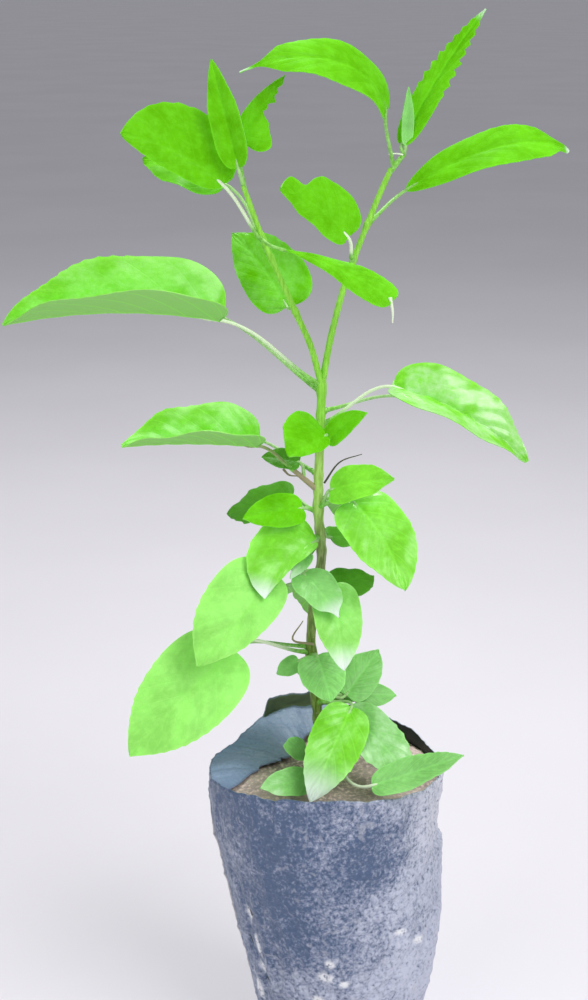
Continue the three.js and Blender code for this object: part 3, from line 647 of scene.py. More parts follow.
class Draft:
    """Points, faces and point values that become one mesh."""

    def __init__(self):
        self.points = []
        self.quads = []
        self.threes = []
        self.values = {}
        self.count = 0

    def add(self, points, quads, threes=(), **values):
        """Adds points, faces that count from the first of them, and values with one entry a point."""
        points = np.asarray(points, float).reshape(-1, 3)
        self.points.append(points)
        self.quads.append(np.asarray(quads, int).reshape(-1, 4) + self.count)
        if len(threes):
            self.threes.append(np.asarray(threes, int).reshape(-1, 3) + self.count)
        for name, value in values.items():
            self.values.setdefault(name, []).append(np.asarray(value, float))
        self.count += len(points)

    def build(self, name, material, nodes, sharp):
        """Makes the object, in place of the CAD nodes. Edges over the sharp angle stay hard."""
        if not self.count:
            raise RuntimeError(f"{name} has no points")
        points = np.vstack(self.points) * MM
        quads = np.vstack(self.quads)
        threes = np.vstack(self.threes) if self.threes else np.zeros((0, 3), int)
        mesh = bpy.data.meshes.new(name)
        mesh.vertices.add(len(points))
        mesh.vertices.foreach_set("co", points.astype(np.float32).ravel())
        corners = np.concatenate([quads.ravel(), threes.ravel()])
        mesh.loops.add(len(corners))
        mesh.loops.foreach_set("vertex_index", corners.astype(np.int32))
        mesh.polygons.add(len(quads) + len(threes))
        starts = np.concatenate([np.arange(len(quads)) * 4, 4 * len(quads) + np.arange(len(threes)) * 3])
        mesh.polygons.foreach_set("loop_start", starts.astype(np.int32))
        mesh.update(calc_edges=True)
        if mesh.validate():
            raise RuntimeError(f"{name} has faces that aren't sound")
        for key, parts in self.values.items():
            joined = np.concatenate(parts).astype(np.float32)
            kind, field = ("FLOAT", "value") if joined.ndim == 1 else ("FLOAT_VECTOR", "vector")
            mesh.attributes.new(key, kind, "POINT").data.foreach_set(field, joined.ravel())
        mesh.shade_smooth()
        mesh.set_sharp_from_angle(angle=math.radians(sharp))
        mesh.materials.append(material)
        piece = add_to_scene(name, mesh)
        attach(piece, "root")
        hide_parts(*nodes)


def grid_quads(rows, columns, closed=False, flip=False):
    """Quads of a grid of points, closed round its columns where asked."""
    row = np.arange(rows - 1)[:, None]
    column = np.arange(columns if closed else columns - 1)[None, :]
    after = (column + 1) % columns
    here = row * columns + column
    right = row * columns + after
    quads = np.stack([here, right, right + columns, here + columns], axis=-1).reshape(-1, 4)
    return quads[:, ::-1] if flip else quads


def tube(points, radii):
    """Grid of points round a line. radii has a row for every point and a column for every side."""
    sides = radii.shape[1]
    normals, others = frames_along(points)
    turn = 2 * np.pi * np.arange(sides) / sides
    out = normals[:, None, :] * np.cos(turn)[:, None] + others[:, None, :] * np.sin(turn)[:, None]
    return points[:, None, :] + out * radii[:, :, None]


def add_tube(draft, grid, **values):
    """Adds a tube with a middle point in each end cap."""
    rows, sides = grid.shape[:2]
    points = np.vstack([grid.reshape(-1, 3), grid[0].mean(axis=0), grid[-1].mean(axis=0)])
    last = (rows - 1) * sides
    threes = []
    for side in range(sides):
        after = (side + 1) % sides
        threes.append((after, side, rows * sides))
        threes.append((last + side, last + after, rows * sides + 1))
    ended = {}
    for name, value in values.items():
        value = np.asarray(value, float)
        flat = value.reshape(-1, 3) if value.ndim == 3 else value.reshape(-1)
        ended[name] = np.concatenate([flat, flat[:1], flat[-1:]])
    draft.add(points, grid_quads(rows, sides, closed=True), threes, **ended)


# Materials


def new_material(name):
    """An empty material with its Principled shader and output."""
    material = bpy.data.materials.new(name)
    material.use_nodes = True
    tree = material.node_tree
    tree.nodes.clear()
    output = tree.nodes.new("ShaderNodeOutputMaterial")
    shader = tree.nodes.new("ShaderNodeBsdfPrincipled")
    tree.links.new(shader.outputs["BSDF"], output.inputs["Surface"])
    return material, tree, shader


def node(tree, kind, settings=None, **inputs):
    """A node with its settings and its inputs, which are values or sockets. i0 names the first input."""
    made = tree.nodes.new(kind)
    for name, value in (settings or {}).items():
        setattr(made, name, value)
    for name, value in inputs.items():
        by_place = name[0] == "i" and name[1:].isdigit()
        socket = made.inputs[int(name[1:]) if by_place else name]
        if isinstance(value, bpy.types.NodeSocket):
            tree.links.new(value, socket)
        else:
            socket.default_value = value
    return made


def maths(tree, operation, *values):
    """The value of a Math node."""
    inputs = {f"i{place}": value for place, value in enumerate(values)}
    return node(tree, "ShaderNodeMath", {"operation": operation}, **inputs).outputs[0]


def product(tree, first, second):
    """Two values multiplied."""
    return maths(tree, "MULTIPLY", first, second)


def scaled(tree, value, factor, offset):
    """A value times a factor, plus an offset."""
    return maths(tree, "MULTIPLY_ADD", value, factor, offset)


def one_less(tree, value):
    """One less a value."""
    return maths(tree, "SUBTRACT", 1.0, value)


def mix(tree, share, first, second):
    """The colour between two."""
    return node(tree, "ShaderNodeMix", {"data_type": "RGBA"}, i0=share, i6=first, i7=second).outputs[2]


def span(tree, value, low, high, to_low=0.0, to_high=1.0):
    """A smooth step of a value from low to high."""
    made = node(tree, "ShaderNodeMapRange", {"interpolation_type": "SMOOTHSTEP"}, i0=value, i1=low,
                i2=high, i3=to_low, i4=to_high)
    return made.outputs[0]


def cloud(tree, where, scale, detail, **more):
    """The value of a Noise Texture."""
    made = node(tree, "ShaderNodeTexNoise", Vector=where, Scale=scale, Detail=detail, **more)
    return made.outputs["Fac"]


def cells(tree, where, scale, **settings):
    """Distances in a Voronoi Texture."""
    return node(tree, "ShaderNodeTexVoronoi", settings, Vector=where, Scale=scale).outputs["Distance"]


def object_place(tree):
    """Where a point is on the object, in metres."""
    return node(tree, "ShaderNodeTexCoord").outputs["Object"]


def emboss(tree, shader, height, strength, distance, invert=False):
    """Bump from a height."""
    bump = node(tree, "ShaderNodeBump", {"invert": invert}, Strength=strength, Distance=distance,
                Height=height)
    tree.links.new(bump.outputs["Normal"], shader.inputs["Normal"])


def attribute(tree, name, output="Fac"):
    """A value or vector that the mesh holds."""
    return node(tree, "ShaderNodeAttribute", {"attribute_name": name}).outputs[output]


def parts_of(tree, vector):
    """The three values of a vector."""
    return node(tree, "ShaderNodeSeparateXYZ", Vector=vector).outputs


def new_group(name, inputs, outputs):
    """A node group with its sockets, which are given by name and kind."""
    group = bpy.data.node_groups.new(name, "ShaderNodeTree")
    for way, sockets in (("INPUT", inputs), ("OUTPUT", outputs)):
        for title, kind in sockets.items():
            group.interface.new_socket(title, in_out=way, socket_type=kind)
    return group, group.nodes.new("NodeGroupInput").outputs, group.nodes.new("NodeGroupOutput").inputs


def opaque(colour):
    """A colour with its fourth number."""
    return (*colour[:3], 1.0)


def vein_group():
    """Masks of a blade's veins, and of the middle between side veins, where painted light falls. Its
    measures count side veins, and give mm from midrib and between veins.
    """
    number = "NodeSocketFloat"
    group, given, result = new_group(
        "blade_veins",
        {"Measures": "NodeSocketVector", "Place": "NodeSocketVector"},
        {"Main": number, "Net": number, "SwellLight": number, "Height": number},
    )
    count, from_rib, spacing = parts_of(group, given["Measures"])
    between = maths(group, "ABSOLUTE", maths(group, "SUBTRACT", maths(group, "FRACT", count), 0.5))
    off = maths(group, "SUBTRACT", 0.5, between)
    side = span(group, product(group, off, spacing), 0.6, 0.05)
    main = maths(group, "MAXIMUM", product(group, side, 0.8), span(group, from_rib, 0.9, 0.2))
    net = span(group, cells(group, given["Place"], 0.55, feature="DISTANCE_TO_EDGE"), 0.09, 0.0)
    height = maths(group, "ADD", product(group, main, 0.7), product(group, net, 0.3))
    found = {"Main": main, "Net": net, "SwellLight": span(group, off, 0.1, 0.42), "Height": height}
    for title, value in found.items():
        group.links.new(value, result[title])
    return group


def fibre_group():
    """Fine fibres of bark and stalks, as a mask and as a height. The group is made once."""
    if FIBRES in bpy.data.node_groups:
        return bpy.data.node_groups[FIBRES]
    group, given, result = new_group(
        FIBRES,
        {"Place": "NodeSocketVector", "Scale": "NodeSocketFloat", "Detail": "NodeSocketFloat"},
        {"Mask": "NodeSocketFloat", "Height": "NodeSocketFloat"},
    )
    height = cloud(group, given["Place"], given["Scale"], given["Detail"])
    group.links.new(span(group, height, 0.35, 0.65), result["Mask"])
    group.links.new(height, result["Height"])
    return group


def placed(tree, group, **inputs):
    """The outputs of a node group that is placed in a material."""
    return node(tree, "ShaderNodeGroup", {"node_tree": group}, **inputs).outputs


def leaf_material(name, colour, shine, roughness, veins):
    """A blade: glossy above, matt and greyer beneath, with veins, patches, a light rim, painted light on the
    swellings between its veins, patches of painted sheen and a painted highlight at its tip.
    """
    material, tree, shader = new_material(name)
    place = attribute(tree, "place", "Vector")
    under = attribute(tree, "under")
    tip = attribute(tree, "tip")
    clear, gloss, rim = parts_of(tree, attribute(tree, "look", "Vector"))
    lines = placed(tree, veins, Measures=attribute(tree, "measures", "Vector"), Place=place)
    base = opaque(colour)
    light = opaque([min(1.0, 0.02 + 1.3 * c) for c in colour])
    dark = opaque([0.72 * c for c in colour])
    # A whitish colour of painted sheen, which the glossy leaves take in patches
    painted_sheen = opaque([0.45 * c + 0.5 for c in colour])
    matt = opaque([0.4 * c + 0.6 * grey for c, grey in zip(colour, UNDER_COLOUR)])
    patches = cloud(tree, place, 0.09, 2.0)
    mottle = cloud(tree, place, 0.45, 4.0, Roughness=0.6)
    tone = mix(tree, span(tree, patches, 0.62, 0.34, 0.0, 0.7), base, dark)
    tone = mix(tree, span(tree, mottle, 0.42, 0.7, 0.0, 0.22), tone, light)
    # Painted light: the swellings between side veins are lightened as if lit from above
    swell_light = product(tree, lines["SwellLight"], scaled(tree, clear, 0.16, 0.1))
    tone = mix(tree, product(tree, swell_light, span(tree, mottle, 0.3, 0.65)), tone, light)
    tone = mix(tree, product(tree, lines["Net"], 0.14), tone, dark)
    shown = scaled(tree, clear, 0.3, 0.05)
    tone = mix(tree, product(tree, lines["Main"], shown), tone, light)
    tone = mix(tree, product(tree, rim, 0.5), tone, light)
    # The gloss patches drive the real coat, and also mix in the painted sheen
    patchy = product(tree, gloss, span(tree, patches, 0.36, 0.56))
    painted_sheen_share = product(tree, patchy, scaled(tree, mottle, 0.9, -0.2))
    tone = mix(tree, painted_sheen_share, tone, painted_sheen)
    # The tip whitens with a painted highlight
    tone = mix(tree, tip, tone, TIP_HIGHLIGHT_COLOUR)
    beneath = mix(tree, product(tree, lines["Main"], 0.5), matt, light)
    tree.links.new(mix(tree, under, tone, beneath), shader.inputs["Base Color"])
    rough = scaled(tree, mottle, 0.25, roughness - 0.12)
    tree.links.new(scaled(tree, under, 0.2, rough), shader.inputs["Roughness"])
    above = one_less(tree, under)
    tree.links.new(product(tree, patchy, above), shader.inputs["Coat Weight"])
    shader.inputs["Coat Roughness"].default_value = 0.17
    shader.inputs["Specular IOR Level"].default_value = shine
    emboss(tree, shader, lines["Height"], 0.4, 0.00015, invert=True)
    return material


def stalk_material():
    """Stalks: green, cream or tan by what the mesh says."""
    material, tree, shader = new_material("stalk")
    tone = attribute(tree, "tone")
    grown = placed(tree, fibre_group(), Place=object_place(tree), Scale=700.0, Detail=3.0)
    colour = mix(tree, grown["Mask"], *STALK_GREENS)
    for start, full, shade in STALK_TONES:
        colour = mix(tree, span(tree, tone, start, full), colour, shade)
    tree.links.new(colour, shader.inputs["Base Color"])
    shader.inputs["Roughness"].default_value = 0.45
    emboss(tree, shader, grown["Height"], 0.4, 0.0002)
    return material


def stem_material():
    """Bark: olive brown at the foot, lime and then green higher up, with fine fibres and pale pores."""
    material, tree, shader = new_material("stem")
    where = object_place(tree)
    height = parts_of(tree, where)[2]
    drawn = node(tree, "ShaderNodeMapping", Vector=where, Scale=(1.0, 1.0, 0.16)).outputs[0]
    grown = placed(tree, fibre_group(), Place=drawn, Scale=1100.0, Detail=4.0)
    soft = span(tree, grown["Height"], 0.3, 0.7)
    level = scaled(tree, cloud(tree, where, 120.0, 3.0), 0.02, height)
    colour = mix(tree, grown["Mask"], *FOOT_BARK)
    for mask, (low, high, *shades) in ((grown["Mask"], OLIVE_BARK), (soft, LIME_BARK), (soft, FRESH_BARK)):
        colour = mix(tree, span(tree, level, low, high), colour, mix(tree, mask, *shades))
    pore = product(tree, span(tree, cells(tree, where, 420.0), 0.16, 0.08), span(tree, level, 0.3, 0.22))
    colour = mix(tree, product(tree, pore, 0.6), colour, PORE_COLOUR)
    tree.links.new(colour, shader.inputs["Base Color"])
    shader.inputs["Roughness"].default_value = 0.5
    shader.inputs["Specular IOR Level"].default_value = 0.35
    emboss(tree, shader, grown["Height"], 0.5, 0.0003)
    return material


def film_dust_and_light(tree, where, smooth, grain):
    """How pale the film is towards one side and its foot, how dusty in broad patches, and how far painted
    light lightens its fold, and again with its mottling.
    """
    x, _, z = parts_of(tree, where)
    side = span(tree, x, *PALER_SIDE, -0.02, 0.8)
    low = span(tree, z, *PALER_FOOT, 0.0, 0.26)
    dust_and_light = maths(tree, "ADD", side, low)
    broad = cloud(tree, where, BROAD_SCALE, 3.0)
    dust_and_light = maths(tree, "ADD", dust_and_light, scaled(tree, broad, 0.9, -0.45))
    # Painted light: the fold, which lies in shade, is lightened
    dust_and_light = maths(tree, "ADD", dust_and_light, product(tree, smooth, 0.42))
    centre = [axis * MM for axis in STAIN_PLACE]
    away = node(tree, "ShaderNodeVectorMath", {"operation": "DISTANCE"}, i0=where, i1=centre)
    stain = span(tree, away.outputs["Value"], STAIN_REACH * MM, 0.3 * STAIN_REACH * MM, 0.0, 0.45)
    dust_and_light = maths(tree, "SUBTRACT", dust_and_light, stain)
    blots = cloud(tree, where, BLOT_SCALE, 3.0, Roughness=0.6)
    uneven = scaled(tree, grain, 2.9, scaled(tree, blots, 1.0, -1.95))
    uneven = product(tree, uneven, one_less(tree, product(tree, smooth, 0.6)))
    return dust_and_light, span(tree, maths(tree, "ADD", dust_and_light, uneven), -0.2, 1.12)


def film_wear_and_shade(tree, where, grain, scuffs, dust_and_light):
    """Masks of the film's pits, darkened as painted shade, its pale flecks, scratches and paler upper right.
    """
    x, _, z = parts_of(tree, where)
    # The pits, where the film's bump is lowest, are darkened with painted shade
    pit_shade = product(tree, span(tree, grain, 0.43, 0.34), 0.5)
    fleck = span(tree, cells(tree, where, FLECK_SCALE), 0.30, 0.16)
    fleck = product(tree, product(tree, fleck, span(tree, dust_and_light, 0.05, 0.7)), 0.4)
    scratch = product(tree, span(tree, scuffs, 0.60, 0.68), 0.3)
    pale_patch = product(tree, span(tree, x, *PALE_PATCH_SIDE), span(tree, z, *PALE_PATCH_TOP))
    pale_patch = product(tree, pale_patch, span(tree, grain, 0.38, 0.56, 0.1, 0.8))
    return pit_shade, fleck, scratch, pale_patch


def film_material(settings):
    """Slate film: mottled with dust, with wear and dirt, pits darkened with painted shade, a seam with a
    painted highlight, a fold lightened and blued with painted light, and insides painted dark as shade.
    """
    material, tree, shader = new_material("film")
    where = object_place(tree)
    inner = attribute(tree, "inner")
    seam, dirt, smooth = parts_of(tree, attribute(tree, "marks", "Vector"))
    grain = cloud(tree, where, GRAIN_SCALE, 5.0, Roughness=0.72)
    scuffs = cloud(tree, where, SCUFF_SCALE, 5.0, Distortion=2.0)
    dust_and_light, level = film_dust_and_light(tree, where, smooth, grain)
    colour = mix(tree, level, opaque(settings.film), opaque(settings.dust))
    # The fold takes a bluer, lighter colour: painted light in its shade
    colour = mix(tree, product(tree, smooth, 0.65), colour, FOLD_LIGHT_COLOUR)
    rough_part = one_less(tree, product(tree, smooth, 0.6))
    wear_and_shade = film_wear_and_shade(tree, where, grain, scuffs, dust_and_light)
    pit_shade_colour = opaque([0.35 * c for c in settings.film])
    for mask, shade in zip(wear_and_shade, (pit_shade_colour, *WEAR_COLOURS)):
        colour = mix(tree, product(tree, mask, rough_part), colour, shade)
    spotty = product(tree, dirt, span(tree, grain, 0.36, 0.50))
    colour = mix(tree, spotty, colour, DIRT_COLOUR)
    # The seam's pale line is a painted highlight
    colour = mix(tree, seam, colour, SEAM_HIGHLIGHT_COLOUR)
    # The standing end's inner face is painted olive-dark and the inside nearly black: painted shade
    colour = mix(tree, span(tree, inner, 0.0, 0.5), colour, STANDING_SHADE_COLOUR)
    colour = mix(tree, span(tree, inner, 0.5, 1.0), colour, INSIDE_SHADE_COLOUR)
    tree.links.new(colour, shader.inputs["Base Color"])
    tree.links.new(scaled(tree, level, 0.25, 0.33), shader.inputs["Roughness"])
    lift = scaled(tree, grain, 0.6, product(tree, scuffs, 0.7))
    emboss(tree, shader, lift, 0.6, 0.0007)
    return material


def soil_material(settings):
    """Dry crumbly soil."""
    material, tree, shader = new_material("soil")
    where = object_place(tree)
    grain = cloud(tree, where, 600.0, 4.0)
    low = opaque([0.6 * c for c in settings.soil])
    high = opaque([min(1.0, 1.4 * c) for c in settings.soil])
    colour = mix(tree, span(tree, cloud(tree, where, 60.0, 4.0), 0.35, 0.65), low, opaque(settings.soil))
    colour = mix(tree, span(tree, grain, 0.45, 0.7), colour, high)
    tree.links.new(colour, shader.inputs["Base Color"])
    shader.inputs["Roughness"].default_value = 0.95
    emboss(tree, shader, grain, 0.8, 0.0005)
    return material


# Leaves


def midrib(leaf, base, shares):
    """Points of a blade's midrib, with the way ahead, the face and the side at each."""
    length, heading, rise = leaf["blade"]
    chord = direction(heading, rise)
    face = direction(*leaf["face"])
    up = unit(face - chord * face.dot(chord))
    side = np.cross(up, chord)
    arch = math.radians(leaf.get("arch", 0))
    sweep = math.radians(leaf.get("sweep", 0))
    early = leaf.get("early", 1)

    def ahead(share):
        share = np.asarray(share, float)
        dip = arch * (1 / (early + 1) - share**early)
        turn = sweep * (share - 0.5)
        way = chord * (np.cos(dip) * np.cos(turn))[..., None] + up * np.sin(dip)[..., None]
        return unit(way + side * np.sin(turn)[..., None])

    fine = 200
    walk = np.vstack([np.zeros(3), np.cumsum(ahead((np.arange(fine) + 0.5) / fine), axis=0)])
    walk *= length / np.linalg.norm(walk[-1])
    even = np.linspace(0, 1, fine + 1)
    points = np.column_stack([np.interp(shares, even, walk[:, axis]) for axis in range(3)]) + base
    way = ahead(shares)
    top = unit(up - way * (way @ up)[:, None])
    return points, way, top, np.cross(top, way)


def outline(share, leaf):
    """Half the blade's width at a share of its length, as a share of the greatest."""
    widest = leaf.get("widest", WIDEST)
    rising = (share / widest) ** widest
    falling = ((1 - share) / (1 - widest)) ** (1 - widest)
    return (rising * falling) ** leaf.get("slender", SLENDER)


def bite(share):
    """What is left of a half that an insect has chewed."""
    eaten = smoothstep(share, BITE_START, BITE_END)
    ripple = BITE_RIPPLE * np.sin(2 * np.pi * share * BITE_COUNT)
    ripple = ripple + BITE_SCALLOP * (0.6 - np.abs(np.sin(np.pi * share * BITE_SCALLOPS)))
    return 1 + (BITE_LEFT + ripple - 1) * eaten


def blade_reach(leaf, share, across, number):
    """How far each point of a blade is from its midrib, with teeth, dent and bite."""
    size = np.abs(across)
    drawn_out = 1 - leaf.get("drip", 0.0) * smoothstep(share, *DRIP_REACH)
    half = np.maximum(TIP_WIDTH, leaf["width"] / 2 * outline(share, leaf) * drawn_out)[:, None]
    teeth = max(3, round(leaf["blade"][0] / TOOTH_LENGTH))
    saw = (share * teeth + TOOTH_TURN * number) % 1
    depth = leaf.get("teeth", TOOTH_DEPTH) * smoothstep(share, *TEETH_START)
    depth = depth * (1 - smoothstep(share, *TEETH_END))
    tooth = depth * (np.minimum(saw / 0.75, (1 - saw) / 0.25) - 0.6)
    reach = half * size * (1 + np.sign(across) * leaf.get("lop", 0)) * (1 + tooth[:, None] * size**5)
    if "nick" in leaf:
        place, spread, deep = leaf["nick"]
        dent = 1 - deep * np.exp(-(((share - place) / spread) ** 2))[:, None]
        reach = np.where(across < 0, reach * dent, reach)
    if leaf.get("bitten"):
        reach = np.where(across < 0, reach * bite(share)[:, None], reach)
    return reach


def sheet_quads(rows, columns):
    """Faces of a thin closed sheet: its upper grid, its lower grid and a strip along each edge."""
    total = rows * columns
    quads = [grid_quads(rows, columns, flip=True), grid_quads(rows, columns) + total]
    left = np.arange(rows - 1) * columns
    front = np.arange(columns - 1)
    right = left + columns - 1
    back = front + (rows - 1) * columns
    edges = ((left, columns, True), (right, columns, False), (front, 1, False), (back, 1, True))
    for edge, step, flip in edges:
        strip = np.column_stack([edge, edge + step, edge + step + total, edge + total])
        quads.append(strip[:, ::-1] if flip else strip)
    return np.vstack(quads)


def add_blade(draft, leaf, base, number, settings):
    """One thin closed blade with teeth, swellings between its veins and a raised midrib beneath."""
    length = leaf["blade"][0]
    rows = max(18, round(length / LEAF_STEP)) + 1
    half_columns = max(6, round(leaf["width"] / 2 / LEAF_STEP))
    columns = 2 * half_columns + 1
    even = np.linspace(0, 1, rows)
    share = 0.6 * even + 0.2 * (1 - np.cos(np.pi * even))
    points, way, top, side = midrib(leaf, base, share)
    fold = math.radians(leaf.get("fold", 0))
    across = np.linspace(-1, 1, columns)[None, :]
    sign = np.sign(across)
    size = np.abs(across)
    reach = blade_reach(leaf, share, across, number)
    slant = (HEART_SLANT + (TIP_SLANT - HEART_SLANT) * smoothstep(share, 0, 0.7))[:, None]
    waves = share[:, None] * WAVE_COUNT + WAVE_TURN * number + 0.25 * sign
    wave = LEAF_WAVE * np.sin(2 * np.pi * waves) * size**2
    wave = wave * smoothstep(share, 0.05, 0.3)[:, None] * min(1.0, leaf["width"] / 30)
    lift = reach * math.sin(fold) - CURL * reach * size + wave
    grid = (points[:, None, :] + way[:, None, :] * (reach * slant)[..., None]
            + side[:, None, :] * (sign * reach * math.cos(fold))[..., None]
            + top[:, None, :] * lift[..., None])
    veins = (share[:, None] - VEIN_RISE * size**0.85) / VEIN_SPACING
    near_rib = np.exp(-((reach / RIB_HALF) ** 2))
    swell = 0.5 - 0.5 * np.cos(2 * np.pi * veins)
    edge = 1 - smoothstep(size, 0.75, 1.0)
    shown = leaf.get("veins", PLAIN_VEINS)
    relief = settings.vein_relief / MM * min(1.0, leaf["width"] / 22) * (0.5 + 1.5 * shown)
    along = np.gradient(grid, axis=0)
    beside = np.gradient(grid, axis=1)
    normals = unit(np.cross(along, beside) + 1e-9 * top[:, None, :])
    normals[:, 0] = normals[:, 1]
    normals[:, -1] = normals[:, -2]
    middle = grid + normals * (relief * (swell * edge - near_rib))[..., None]
    thick = settings.leaf_thickness / MM
    rib = THIN_RIB * near_rib * (1 - 0.8 * share[:, None]) * min(1.0, leaf["width"] / 20)
    upper = middle + normals * thick / 2
    lower = middle - normals * (thick / 2 + rib)[..., None]
    everywhere = np.ones((rows, columns))
    # The whitening end of a blade is a painted highlight
    pale = leaf.get("tip", 0.0) * smoothstep(share, leaf.get("highlight_from", HIGHLIGHT_FROM), 1.0)[:, None]
    gloss = leaf.get("gloss", PLAIN_GLOSS) * everywhere
    values = {
        "measures": (veins + 20, reach, VEIN_SPACING * length * everywhere),
        "place": (share[:, None] * length * everywhere, reach * sign, PLACE_STEP * number * everywhere),
        "look": (shown * everywhere, gloss, smoothstep(size, 0.9, 1.0) * everywhere),
    }
    both = {name: np.tile(np.stack(parts, axis=-1).reshape(-1, 3), (2, 1)) for name, parts in values.items()}
    draft.add(
        np.vstack([upper.reshape(-1, 3), lower.reshape(-1, 3)]),
        sheet_quads(rows, columns),
        under=np.repeat([0.0, 1.0], rows * columns),
        tip=np.tile((pale * everywhere).ravel(), 2),
        **both,
    )


def stalk_line(leaf, start, base):
    """The stalk's line from its shoot to the blade and on under the midrib."""
    length, heading, rise = leaf["stalk"]
    points, way, top, _ = midrib(leaf, base, np.array([0.0, STALK_END / 2, STALK_END]))
    leave = start + direction(heading, rise) * length * STALK_ARM
    arrive = base - way[0] * length * STALK_ARM
    t = np.linspace(0, 1, 40)[:, None]
    bend = (1 - t) ** 3 * start + 3 * (1 - t) ** 2 * t * leave + 3 * (1 - t) * t**2 * arrive + t**3 * base
    below = points[1:] - top[1:] * np.array([[0.35], [0.45]])
    return np.vstack([bend, below])


def shoot_ends(shoot):
    """Where a shoot's spur starts and ends."""
    line = LINES[shoot["limb"]]
    root = at_share(line, SPUR_SINK) if shoot.get("continues") else at_height(line, shoot["height"])
    length, heading, rise = shoot["spur"]
    return root, root + direction(heading, rise) * length


def leaf_base(shoot, leaf):
    """Where a leaf's stalk starts and where its blade does."""
    root, end = shoot_ends(shoot)
    start = root + (end - root) * leaf.get("start", 1.0)
    length, heading, rise = leaf["stalk"]
    return start, start + direction(heading, rise) * length


def build_leaves(settings):
    """The blades of all leaves, one piece for each colour."""
    veins = vein_group()
    for kind, (shine, roughness) in KINDS.items():
        draft = Draft()
        nodes = set()
        number = 0
        for shoot in SHOOTS:
            for leaf in shoot["leaves"]:
                number += 1
                if leaf["kind"] == kind:
                    add_blade(draft, leaf, leaf_base(shoot, leaf)[1], number, settings)
                    nodes.add(shoot["name"])
        material = leaf_material(f"leaf_{kind}", getattr(settings, kind), shine, roughness, veins)
        draft.build(f"blades_{kind}", material, sorted(nodes), sharp=50)


def add_spur(draft, shoot):
    """A shoot's spur, with its rings."""
    root, end = shoot_ends(shoot)
    length = shoot["spur"][0]
    rows = max(10, round(length / 0.5))
    foot = LIMB_RADII[shoot["limb"]][1] if shoot.get("continues") else SPUR_RADIUS
    along = np.linspace(0, 1, rows)[:, None] * np.ones((1, STALK_SIDES))
    height, distance = SPUR_RING
    rings = height * np.maximum(0, np.cos(2 * np.pi * along * length / distance)) ** 3
    radii = foot + (STALK_RADIUS[0] - foot) * along + rings
    line = root + (end - root) * along[:, :1]
    add_tube(draft, tube(line, radii), tone=shoot.get("spur_tone", 0.0) * np.ones_like(radii))


def add_stalk(draft, shoot, leaf):
    """A leaf's stalk, thick at its foot, slender, and swollen again below the blade."""
    line = stalk_line(leaf, *leaf_base(shoot, leaf))
    count = max(16, round(lengths_along(line)[-1] / 0.7))
    along = np.linspace(0, 1, count)[:, None] * np.ones((1, STALK_SIDES))
    radii = STALK_RADIUS[0] + (STALK_RADIUS[1] - STALK_RADIUS[0]) * along
    radii = radii * (0.82 + 0.3 * np.exp(-along * 14) + 0.16 * np.exp(-((along - 0.88) * 12) ** 2))
    radii = radii * (1 - 0.6 * smoothstep(along, 0.94, 1.0))
    tone = leaf.get("stalk_tone", PLAIN_STALK) * smoothstep(along, 0.0, 0.35)
    add_tube(draft, tube(spread_evenly(line, count), radii), tone=tone)


def hanging_thread():
    """The pale thread at the tip of the long left leaf, as a dry bit."""
    shoot = next(shoot for shoot in SHOOTS if shoot["name"] == THREAD_SHOOT)
    leaf = shoot["leaves"][1]
    tip = midrib(leaf, leaf_base(shoot, leaf)[1], np.array([0.0, 1.0]))[0][-1]
    radius, length = PALE_THREAD
    down = np.array([0, 0, length])
    return tip + np.array([-1.0, 0, 1.0]), tip - down / 2, tip - down, radius, 1.0


def build_stalks():
    """The spurs and stalks of all leaves, and the small dry bits."""
    draft = Draft()
    for shoot in SHOOTS:
        add_spur(draft, shoot)
        for leaf in shoot["leaves"]:
            add_stalk(draft, shoot, leaf)
    rows = 16
    taper = np.linspace(1, 0.35, rows)[:, None] * np.ones((1, STALK_SIDES))
    for start, bend, end, thick, tone in (*BITS, hanging_thread()):
        line = spread_evenly(curve_through((start, bend, end)), rows)
        add_tube(draft, tube(line, thick * taper), tone=tone * np.ones_like(taper))
    draft.build("stalks", stalk_material(), FOLIAGE, sharp=60)


def add_limb(draft, name, flare, sides):
    """A limb with ridged bark, a swelling at each shoot and a flared foot where it has one."""
    line = LINES[name]
    foot, top = LIMB_RADII[name]
    count = round(lengths_along(line)[-1] / BARK_STEP)
    line = spread_evenly(line, count)
    height = line[:, 2:3]
    along = np.linspace(0, 1, count)[:, None]
    above = np.maximum(0, height - GROUND)
    radius = foot + (top - foot) * along + flare * np.exp(-3 * above / FLARE_HEIGHT)
    swell, half = SHOOT_SWELLING
    for shoot in SHOOTS:
        if shoot["limb"] == name and not shoot.get("continues"):
            radius = radius + swell * np.exp(-((height - shoot["height"]) / half) ** 2)
    grid = tube(line, radius * np.ones((1, sides)))
    streak = noise(grid * np.array([1.0, 1.0, 0.14]), 0.9, 3)
    streak = streak + 0.5 * noise(grid * np.array([1.0, 1.0, 0.2]), 0.45, 4)
    woody = 1 - 0.6 * smoothstep(height, *SMOOTH_BARK)
    relief = BARK_STREAKS * streak * woody + BARK_LUMPS * noise(grid, 4.0, 5)
    add_tube(draft, grid + unit(grid - line[:, None, :]) * relief[..., None])


def build_limbs():
    """The trunk and the two boughs."""
    material = stem_material()
    trunk = Draft()
    add_limb(trunk, "trunk", TRUNK_FLARE, TRUNK_SIDES)
    trunk.build("trunk_bark", material, ["trunk"], sharp=60)
    boughs = Draft()
    for name in ("left", "right"):
        add_limb(boughs, name, 0.0, BOUGH_SIDES)
    boughs.build("bough_bark", material, ["bough_left", "bough_right"], sharp=60)


# Bag and soil


def wall_at(height):
    """Radius and sideways shift of the bag's wall at a height, with the rings' corners smoothed."""
    heights, *columns = np.array(BAG_RINGS, float).T
    near = [np.clip(np.asarray(height, float) + off, 0, heights[-1]) for off in WALL_SMOOTHING]
    return [sum(np.interp(at, heights, column) for at in near) / len(near) for column in columns]


